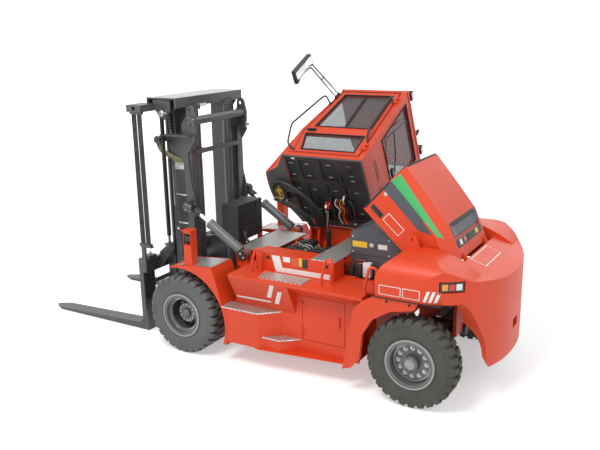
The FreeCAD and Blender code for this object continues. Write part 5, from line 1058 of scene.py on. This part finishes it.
# %% Hanging hoses
hose_low, hose_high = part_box("carriage_hoses")
STRANDS, STRAND_STEP, GROUP_GAP = 8, 0.0205, 0.01
middle_y = (hose_low.y + hose_high.y) / 2
strands = []
for count in range(STRANDS):
    x = hose_low.x + 0.012 + STRAND_STEP * count + (GROUP_GAP if count >= STRANDS // 2 else 0.0)
    strands.append(rod((x, middle_y, hose_low.z), (x, middle_y, hose_high.z), 0.0085, 12))
add(strands, "mast_hose_strands", "inner_mast", SPIRAL_HOSE)
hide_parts("carriage_hoses")
low, high = hose_low - Vector((0.01, 0.012, 0)), hose_high + Vector((0.01, 0.012, 0))
clamps = [block((low.x, low.y, z), (high.x, high.y, z + 0.03)) for z in (high.z - 0.03, low.z)]
add(clamps, "mast_hose_clamps", "inner_mast", MAST)

# %% Hoses on the rail
RAIL_FACE = 0.586


def on_rail(points, radius):
    """A hose along the rail, from points that tell how far out from its face they are."""
    return bent([(x, RAIL_FACE + out, z) for x, out, z in points], radius)


rail_hoses, wrap, fittings = [], [], []
for count in range(5):
    top_x, low_x = 0.325 + 0.03 * count, 0.3 + 0.03 * count
    rail_hoses.append(on_rail([(top_x, 0.014, 2.33), (top_x - 0.006, 0.016, 2.0), (low_x, 0.014, 1.55),
                               (low_x - 0.004, 0.014, 1.1)], 0.0105))
    wrap.append(on_rail([(0.62 + 0.02 * count, 0.075, 2.665), (0.6 + 0.022 * count, 0.08, 2.56),
                         (0.46 + 0.026 * count, 0.045, 2.47), (top_x + 0.004, 0.016, 2.43),
                         (top_x, 0.014, 2.36)], 0.0125))
    middle = RAIL_FACE + 0.014
    fittings.append(rod((top_x, middle, 2.3), (top_x, middle, 2.39), 0.0135, 6, edge=0.002))
add(rail_hoses, "rail_hoses", "mast", HOSE)
add(wrap, "rail_hose_wrap", "mast", KHAKI)
CLIP_BARS = ((0.305, 0.47, 2.325, 2.35), (0.282, 0.445, 1.56, 1.585), (0.285, 0.46, 1.95, 1.97))
clip_bars = [block((x0, RAIL_FACE - 0.002, z0), (x1, RAIL_FACE + 0.03, z1)) for x0, x1, z0, z1 in CLIP_BARS]
add(fittings + clip_bars, "rail_hose_fittings", "mast", STEEL, angle=25)

# %% Rollers, blank plates, bosses and the beam's top
guide = [rod((0.655, 0.6, 2.69), (0.655, 0.735, 2.69), 0.016, 16),
         rod((0.6, 0.6, 2.72), (0.6, 0.735, 2.72), 0.012, 16),
         turned([(0.018, -0.045), (0.052, -0.045), (0.052, -0.035), (0.036, -0.025), (0.036, 0.025),
                 (0.052, 0.035), (0.052, 0.045), (0.018, 0.045)], (0.655, 0.667, 2.69), (0, 1, 0), 28),
         block((0.575, 0.598, 2.66), (0.69, 0.61, 2.75), 0.005),
         block((0.53, 0.584, 2.68), (0.6, 0.6, 2.73), 0.004)]
add(guide, "hose_guide_roller", "mast", MAST)


def rail_plate(name, x0, x1, low, high, paint, depth=0.001):
    """A blank plate on the rail's face."""
    piece = block((x0, RAIL_FACE - 0.002, low), (x1, RAIL_FACE + depth, high), 0.0)
    add(piece, name, "mast", paint)


rail_plate("rail_white_plate", 0.452, 0.523, 1.79, 2.34, WHITE)
bars = [block((0.462, RAIL_FACE, z), (0.513, RAIL_FACE + 0.0018, z + 0.1), 0.0)
        for z in (1.81, 1.95, 2.09, 2.22)]
add(bars, "rail_plate_bars", "mast", SEAL)
rail_plate("rail_red_plate", 0.46, 0.505, 1.5, 1.6, RED_LENS)
rail_plate("rail_small_plate", 0.462, 0.503, 1.46, 1.495, WHITE, 0.0012)
beam_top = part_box("inner_mast")[1].z
tread = block((0.29, -0.728, beam_top - 0.001), (0.755, 0.728, beam_top + 0.0035), 0.001)
add(tread, "beam_top_tread", "inner_mast", CHECKER)
beam_plate = block((0.278, 0.1, 3.093), (0.283, 0.36, 3.131), 0.001)
add(beam_plate, "beam_white_plate", "inner_mast", WHITE)
SHEAVE_CAP = [(0.0, 0.026), (0.032, 0.026), (0.042, 0.018), (0.046, 0.0), (0.0, 0.0)]
bosses, boss_bolts, caps, cap_bolts = [], [], [], []
for side, sign in SIDES:
    for x, face, z, radius in ((0.162, 0.587, 2.94, 0.062), (0.19, 0.711, 1.82, 0.058)):
        boss = [(0.0, 0.022), (radius * 0.55, 0.022), (radius * 0.7, 0.014), (radius, 0.012), (radius, 0.0),
                (0.0, 0.0)]
        bosses.append(disc(boss, (x, sign * face, z), sign, 28))
        corners = ring_places((x, sign * (face + 0.012), z), radius * 0.84, 4, start=0.6)
        boss_bolts.append(bolts(corners, (0, sign, 0), 0.007))
    caps.append(disc(SHEAVE_CAP, (0.51, sign * 0.746, 3.044), sign, 28))
    cap_bolts.append(bolts([(0.51 + along, sign * 0.747, 3.05) for along in (0.062, -0.062)], (0, sign, 0),
                           0.013))
add(bosses, "mast_pin_bosses", "mast", MAST)
add(caps, "sheave_pin_caps", "inner_mast", STEEL)
add(boss_bolts, "mast_boss_bolts", "mast", STEEL)
add(cap_bolts, "sheave_cap_bolts", "inner_mast", STEEL)

# %% Tilt cylinders: clevis, collars and base blocks
PIN_EYE = [(0.041, -0.026), (0.07, -0.026), (0.07, 0.026), (0.041, 0.026)]
BASE_CAP = [(0.0, 0.0), (0.068, 0.0), (0.068, 0.011), (0.0, 0.013)]
for side, sign in SIDES:
    out = (0, sign, 0)
    pin, base = Vector((0.19, sign * 0.645, 1.82)), Vector((-0.645, sign * 0.645, 1.278))
    run = (base - pin).normalized()
    eye = turned(PIN_EYE, pin, (0, 1, 0), 28)
    neck = rod(pin + run * 0.066, pin + run * 0.17, 0.047, 24, edge=0.004)
    clamp = bolts([pin + run * at + Vector((0, sign * 0.04, 0)) for at in (0.095, 0.14)], out, 0.011)
    add([eye, neck, clamp], "tilt_clevis_" + side, "tilt_rod_" + side, FRAME)
    gland, port = pin + run * 0.345, base - run * 0.2
    collars = [rod(gland, gland + run * 0.05, 0.067, 28, edge=0.004),
               rod(base - run * 0.14, base - run * 0.105, 0.067, 28, edge=0.004),
               rod(port + Vector((0, 0, 0.05)), port + Vector((0, 0, 0.09)), 0.014, 6)]
    add(collars, "tilt_collars_" + side, "tilt_barrel_" + side, BARREL)
    cap = disc(BASE_CAP, base + Vector((0, sign * 0.066, 0)), sign, 28)
    pins = bolts([base + Vector((x, sign * 0.08, z)) for x, z in ((0.02, 0.026), (-0.022, -0.022))], out, 0.013)
    add(cap, "tilt_base_cap_" + side, "chassis", FRAME)
    add(pins, "tilt_base_bolts_" + side, "chassis", STEEL)

# %% Fork locks and carriage bolts
for side, sign in SIDES:
    centre = sign * 0.76
    knob = turned([(0.0, 0.05), (0.014, 0.05), (0.02, 0.042), (0.02, 0.03), (0.012, 0.026), (0.012, 0.0),
                   (0.0, 0.0)], (0.87, centre, 1.092), (0, 0, 1), 20)
    add(knob, "fork_lock_" + side, "fork_" + side, STEEL)
BOLT_PLACES = (-0.11, -0.05, 0.05, 0.11)
heads, low_heads = (bolts([(0.9, y, z) for y in BOLT_PLACES], (1, 0, 0), 0.014) for z in (0.955, 0.4))
add([heads, low_heads], "carriage_bolts", "carriage", STEEL)
print("mast finished")

# %% [markdown]
# ## Deck
# A white stripe turns a corner along each deck box, beside blank plates and a lock. The
# well between the footplates is filled with hoses, pipes, valves and bright fittings.

# %% Deck box stripes, plates, plugs and lock
BOX_FACE, PANEL_FACE = 0.86, 1.22
PLATE_DEPTH = 0.0015
BOX_MARKS = [
    ("stripe", WHITE, [(-1.184, 1.408), (-1.3, 1.408), (-1.337, 1.268), (-2.015, 1.275), (-2.02, 1.212),
                       (-1.244, 1.206)]),
    ("plate", WHITE, [(-1.345, 1.41), (-1.446, 1.41), (-1.446, 1.345), (-1.352, 1.345)]),
    ("small_plate", CLEAR_RED, [(-1.46, 1.41), (-1.56, 1.41), (-1.56, 1.3), (-1.47, 1.3)]),
]
BOX_PLUG = [(0.0, 0.008), (0.02, 0.007), (0.025, 0.0), (0.0, 0.0)]
SLANT = [(-1.36, 0.2), (-1.418, 0.2), (-1.313, 0.0), (-1.252, 0.0)]


def flat_mark(outline, y, name, paint, depth=PLATE_DEPTH):
    """A thin plate on a flat side: the outline's (x, z) corners, on one side of the truck."""
    piece = plate([(x, y, z) for x, z in outline], (0, math.copysign(depth, y), 0))
    return add(piece, name, "chassis", paint)


for side, sign in SIDES:
    y = sign * BOX_FACE
    for name, paint, outline in BOX_MARKS:
        flat_mark(outline, y, "box_%s_%s" % (name, side), paint)
    flat_mark(box_corners(-1.575, -1.62, 1.42, 1.32), y, "box_lock_plate_" + side, YELLOW, 0.008)
    lock = flank_block(sign, (-1.69, BOX_FACE, 1.31), (-1.625, BOX_FACE + 0.012, 1.415))
    add(lock, "box_lock_" + side, "chassis", PLASTIC)
    plugs = [disc(BOX_PLUG, (x, y, z), sign, 24) for x, z in ((-1.135, 1.37), (-1.947, 1.372))]
    add(plugs, "box_plugs_" + side, "chassis", SEAL)
    lamp_slot = flank_block(sign, (-1.567, 1, 0.831), (-1.535, 1.007, 1.032), 0.003)
    add(lamp_slot, "side_lamp_frame_" + side, "chassis", PLASTIC)
    lens = flank_block(sign, (-1.558, 1, 0.85), (-1.545, 1.011, 1.01), 0.002)
    add(lens, "side_lamp_lens_" + side, "chassis", CLEAR_LENS)
    y = sign * PANEL_FACE
    band = [(-0.79, 0.888), (-1.295, 0.897), (-1.292, 0.872), (-0.79, 0.863)]
    side_mark(band, y, "side_panels", "side_stripe_" + side, WHITE, (24, 3))
    for count, (shift, low_z) in enumerate(((0.0, 0.95), (-0.085, 0.87))):
        slant = [(shift + x, low_z + up) for x, up in SLANT]
        side_mark(slant, y, "side_panels", "side_slant_%d_%s" % (count, side), WHITE, (4, 12))

# %% Hoses and pipes in the well
well = []
for step in range(6):
    y = 0.47 - 0.1 * step
    well.append(bent([(-0.86, y, 1.22), (-1.0, y + 0.05, 1.3), (-1.2, y - 0.04, 1.2), (-1.42, y + 0.03, 1.3),
                      (-1.62, y - 0.05, 1.18), (-1.72, y - 0.06, 1.05)], 0.017, 10))
for step in range(4):
    x = -0.98 - 0.12 * step - (0.22 if step > 1 else 0.0)
    well.append(bent([(x, 0.56, 1.12), (x + 0.03, 0.45, 1.27), (x - 0.05, 0.2, 1.22), (x + 0.04, -0.06, 1.27),
                      (x, -0.24, 1.24), (x - 0.03, -0.33, 1.08)], 0.015, 10))
add(well, "well_hoses", "chassis", HOSE)
pipes = [bent([(-0.88, y, 1.25), (-1.05, y, 1.27), (-1.2, y - 0.02, 1.26), (-1.26, y - 0.03, 1.16)], 0.009)
         for y in (-0.05 - 0.07 * count for count in range(4))]
fittings = []
for count in range(9):
    x, y = -0.95 - 0.085 * count, 0.5 - 0.13 * (count % 4)
    fittings.append(rod((x, y, 1.24), (x - 0.05, y + 0.01, 1.28), 0.02, 6, edge=0.002))
add(pipes + fittings, "well_pipes", "chassis", STEEL, angle=25)
valves = [block((-1.25, 0.06, 1.16), (-1.05, 0.3, 1.26), 0.008),
          block((-1.62, 0.14, 1.14), (-1.45, 0.4, 1.23), 0.008),
          block((-1.2, -0.3, 1.2), (-1.0, -0.14, 1.3), 0.008),
          block((-1.56, -0.28, 1.16), (-1.39, -0.1, 1.24), 0.008)]
add(valves, "well_valves", "chassis", FRAME)
brackets = [block((-0.98, -0.12, 1.17), (-0.955, 0.02, 1.28), 0.003),
            block((-1.6, -0.34, 1.17), (-1.58, -0.2, 1.28), 0.003),
            bent([(-0.93, -0.14, 1.16), (-0.925, -0.16, 1.24), (-0.9, -0.22, 1.28), (-0.88, -0.34, 1.29)],
                 0.016, 12),
            block((-1.72, -0.34, 1.18), (-1.69, -0.12, 1.28), 0.003)]
add(brackets, "well_brackets", "chassis", ORANGE)

# %% Boxes and wires beside the battery
for side, sign in SIDES:
    white = flank_block(sign, (-2.37, 0.49, 1.2), (-2.27, 0.56, 1.38), 0.006)
    add(white, "white_box_" + side, "chassis", WHITE)
    dark = [flank_block(sign, (x0, 0.49, 1.2), (x1, 0.56, high), 0.006)
            for x0, x1, high in ((-2.25, -2.16, 1.36), (-2.14, -2.08, 1.3), (-2.56, -2.42, 1.3))]
    add(dark, "dark_boxes_" + side, "chassis", PLASTIC)
    for count, tint in enumerate((RED_LENS, SEAL, AMBER, SEAL)):
        shift = 0.022 * count
        wire = bent([(-2.1 - shift, sign * 0.47, 1.2), (-2.12 - shift, sign * (0.5 + shift), 1.36),
                     (-2.2 - shift, sign * 0.53, 1.4 - shift), (-2.3 - shift, sign * (0.5 + shift), 1.39),
                     (-2.4 - shift, sign * 0.47, 1.3)], 0.0055, 8)
        add(wire, "battery_wire_%d_%s" % (count, side), "chassis", tint)
print("deck finished")

# %% [markdown]
# ## Under the cab
# With the cab tipped its underside shows: a dark sheet with black panels and small grips,
# a brass valve, thick hoses that bend back to the hinge, and a few coloured wires.

# %% Belly sheet and panels
BELLY = 1.484
HOLES = [(-0.965, -0.86, 0.28, 0.59), (-1.245, -1.05, 0.275, 0.59), (-1.578, -1.355, 0.28, 0.6),
         (-1.925, -1.62, 0.285, 0.415), (-1.0, -0.87, -0.34, 0.225), (-1.26, -1.08, -0.34, 0.225),
         (-1.59, -1.375, -0.34, 0.23), (-1.925, -1.64, -0.34, 0.23)]
rim = [block((x0, y0, BELLY - 0.02), (x1, y1, BELLY + 0.001), 0.002) for x0, x1, y0, y1 in (
    (-1.956, -0.8, 0.63, 0.646), (-1.956, -0.8, -0.49, -0.38), (-1.958, -1.945, -0.38, 0.63))]
add(rim, "belly_rim", "cab", BELLY_PAINT)
panels, grips = [], []
for x0, x1, y0, y1 in HOLES:
    low, high = (x0 + 0.001, y0 + 0.001, BELLY - 0.01), (x1 - 0.001, y1 - 0.001, BELLY + 0.001)
    panels.append(block(low, high, 0.003))
    x = (x0 + x1) / 2
    for y in (y0 + (y1 - y0) * share for share in (0.2, 0.8)):
        grips.append(block((x - 0.03, y - 0.006, BELLY - 0.018), (x + 0.03, y + 0.006, BELLY - 0.009), 0.003))
add(panels, "belly_panels", "cab", SEAL)
add(grips, "belly_grips", "cab", STEEL)
NOSE = [(-0.803, 0.638), (-0.67, 0.43), (-0.457, 0.32), (-0.434, 0.07), (-0.457, -0.18), (-0.67, -0.29),
        (-0.803, -0.497)]
nose = plate([(x, y, BELLY - 0.003) for x, y in NOSE], (0, 0, 0.004))
add(nose, "belly_nose", "cab", BELLY_PAINT)
BELLY_PLUG = [(0.0, 0.012), (0.034, 0.012), (0.045, 0.004), (0.047, 0.0), (0.0, 0.0)]
add(turned(BELLY_PLUG, (-1.766, 0.51, 1.46), (0, 0, -1), 24), "belly_plug", "cab", SEAL)
belly_label = block((-1.0, 0.6, 1.4575), (-0.95, 0.625, 1.4605), 0.0005)
add(belly_label, "belly_label", "cab", WHITE)

# %% Valve, hoses and wires
valve = [rod((-0.66, 0.09, 1.374), (-0.66, 0.09, 1.32), 0.05, 24, edge=0.004),
         rod((-0.66, 0.09, 1.4), (-0.66, 0.19, 1.4), 0.03, 20, edge=0.004),
         rod((-0.7, 0.0, 1.36), (-0.62, 0.0, 1.36), 0.028, 20, edge=0.004),
         block((-0.72, 0.03, 1.36), (-0.6, 0.15, 1.375), 0.004)]
add(valve, "belly_valve", "cab", BRASS)
fittings = [rod((x, y, 1.376), (x, y, 1.33), 0.016, 6, edge=0.002)
            for x, y in ((-0.76 + 0.05 * count, -0.03 + 0.05 * (count % 2)) for count in range(5))]
clip = block((-1.3, -0.27, 1.42), (-1.25, -0.22, 1.462), 0.004)
elbow = bent([(-1.6, 0.06, 1.46), (-1.6, 0.045, 1.42), (-1.6, 0.01, 1.4), (-1.6, -0.03, 1.4)], 0.016, 12)
add(fittings + [clip, elbow], "belly_fittings", "cab", STEEL, angle=25)
arcs = []
for step in range(5):
    shift = 0.032 * step
    arcs.append(bent([(-0.56 - shift, 0.12 - shift, 1.4), (-0.6 - shift, 0.24 - shift, 1.38),
                      (-0.78 - shift, 0.27 - shift, 1.37), (-0.97 - shift, 0.16 - shift, 1.37),
                      (-1.09 - shift, -0.03 - shift, 1.37), (-1.12 - shift, -0.26, 1.37),
                      (-1.11 - shift, -0.44, 1.36)], 0.018, 12))
for step in range(3):
    shift = 0.034 * step
    arcs.append(bent([(-0.6 - shift, -0.02, 1.38), (-0.74 - shift, -0.08, 1.34), (-0.9 - shift, -0.2, 1.34),
                      (-0.99 - shift, -0.33, 1.35), (-1.0 - shift, -0.45, 1.36)], 0.016, 12))
for thin in ([(-1.42, 0.1, 1.45), (-1.38, -0.02, 1.42), (-1.42, -0.2, 1.42), (-1.4, -0.4, 1.4)],
             [(-1.66, 0.0, 1.45), (-1.74, -0.08, 1.41), (-1.7, -0.26, 1.41), (-1.74, -0.42, 1.4)]):
    arcs.append(bent(thin, 0.012))
add(arcs, "belly_hoses", "cab", HOSE)
WIRES = ((RED_LENS, -1.5), (AMBER, -1.54), (RED_LENS, -1.58), (WHITE, -1.47))
for count, (tint, start) in enumerate(WIRES):
    wire = bent([(start, 0.0, 1.455), (start + 0.05, -0.07, 1.42), (start - 0.05, -0.16, 1.43),
                 (start + 0.03, -0.27, 1.42), (start - 0.02, -0.4, 1.42)], 0.006, 8)
    add(wire, "belly_wire_%d" % count, "cab", tint)
print("underside finished")

# %% [markdown]
# ## Front fenders, lamp posts and cooler
# Bright checker plate covers the top of each fender. A small lamp shines out of each post,
# and the cooler has fine dark fins and one bent hose.

# %% Fender tread and lamp fittings
for side, sign in SIDES:
    inner, outer = sign * 0.79, sign * 1.165
    corners = [(0.06, inner, 1.3), (0.06, outer, 1.3), (-0.5, outer, 1.3), (-0.5, inner, 1.3)]
    mark(corners, "fenders", "fender_tread_" + side, CHECKER, steps=(10, 24), lift=0.002)
    bulb = turned([(0.0, 0.014), (0.02, 0.012), (0.032, 0.004), (0.034, 0.0), (0.0, 0.0)],
                  (-0.135, sign * 1.125, 1.53), (0, sign, 0), 20)
    add(bulb, "post_bulb_" + side, "chassis", CLEAR_LENS)
    dark = flank_block(sign, (-0.185, 1.112, 1.475), (-0.085, 1.12, 1.617), 0.002)
    add(dark, "post_dark_back_" + side, "chassis", SEAL)
print("fenders finished")

# %% Cooler fins and hose
low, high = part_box("oil_cooler")
FINS, BARS = 22, 3
fins = []
for count in range(FINS):
    z = low.z + 0.03 + (high.z - low.z - 0.06) * count / (FINS - 1)
    fins.append(block((low.x - 0.003, low.y + 0.025, z - 0.004), (low.x + 0.001, high.y - 0.025, z + 0.004),
                      0.0))
for count in range(1, BARS + 1):
    y = low.y + (high.y - low.y) * count / (BARS + 1)
    fins.append(block((low.x - 0.005, y - 0.006, low.z + 0.02), (low.x + 0.001, y + 0.006, high.z - 0.02),
                      0.0))
add(fins, "cooler_fins", "chassis", SEAL)
cooler_hose = bent([(low.x - 0.01, 0.2, 1.44), (low.x - 0.06, 0.24, 1.45), (low.x - 0.09, 0.26, 1.4),
                    (low.x - 0.09, 0.25, 1.35), (low.x - 0.14, 0.24, 1.31)], 0.02, 12)
add(cooler_hose, "cooler_hose", "chassis", HOSE)
print("front finished")
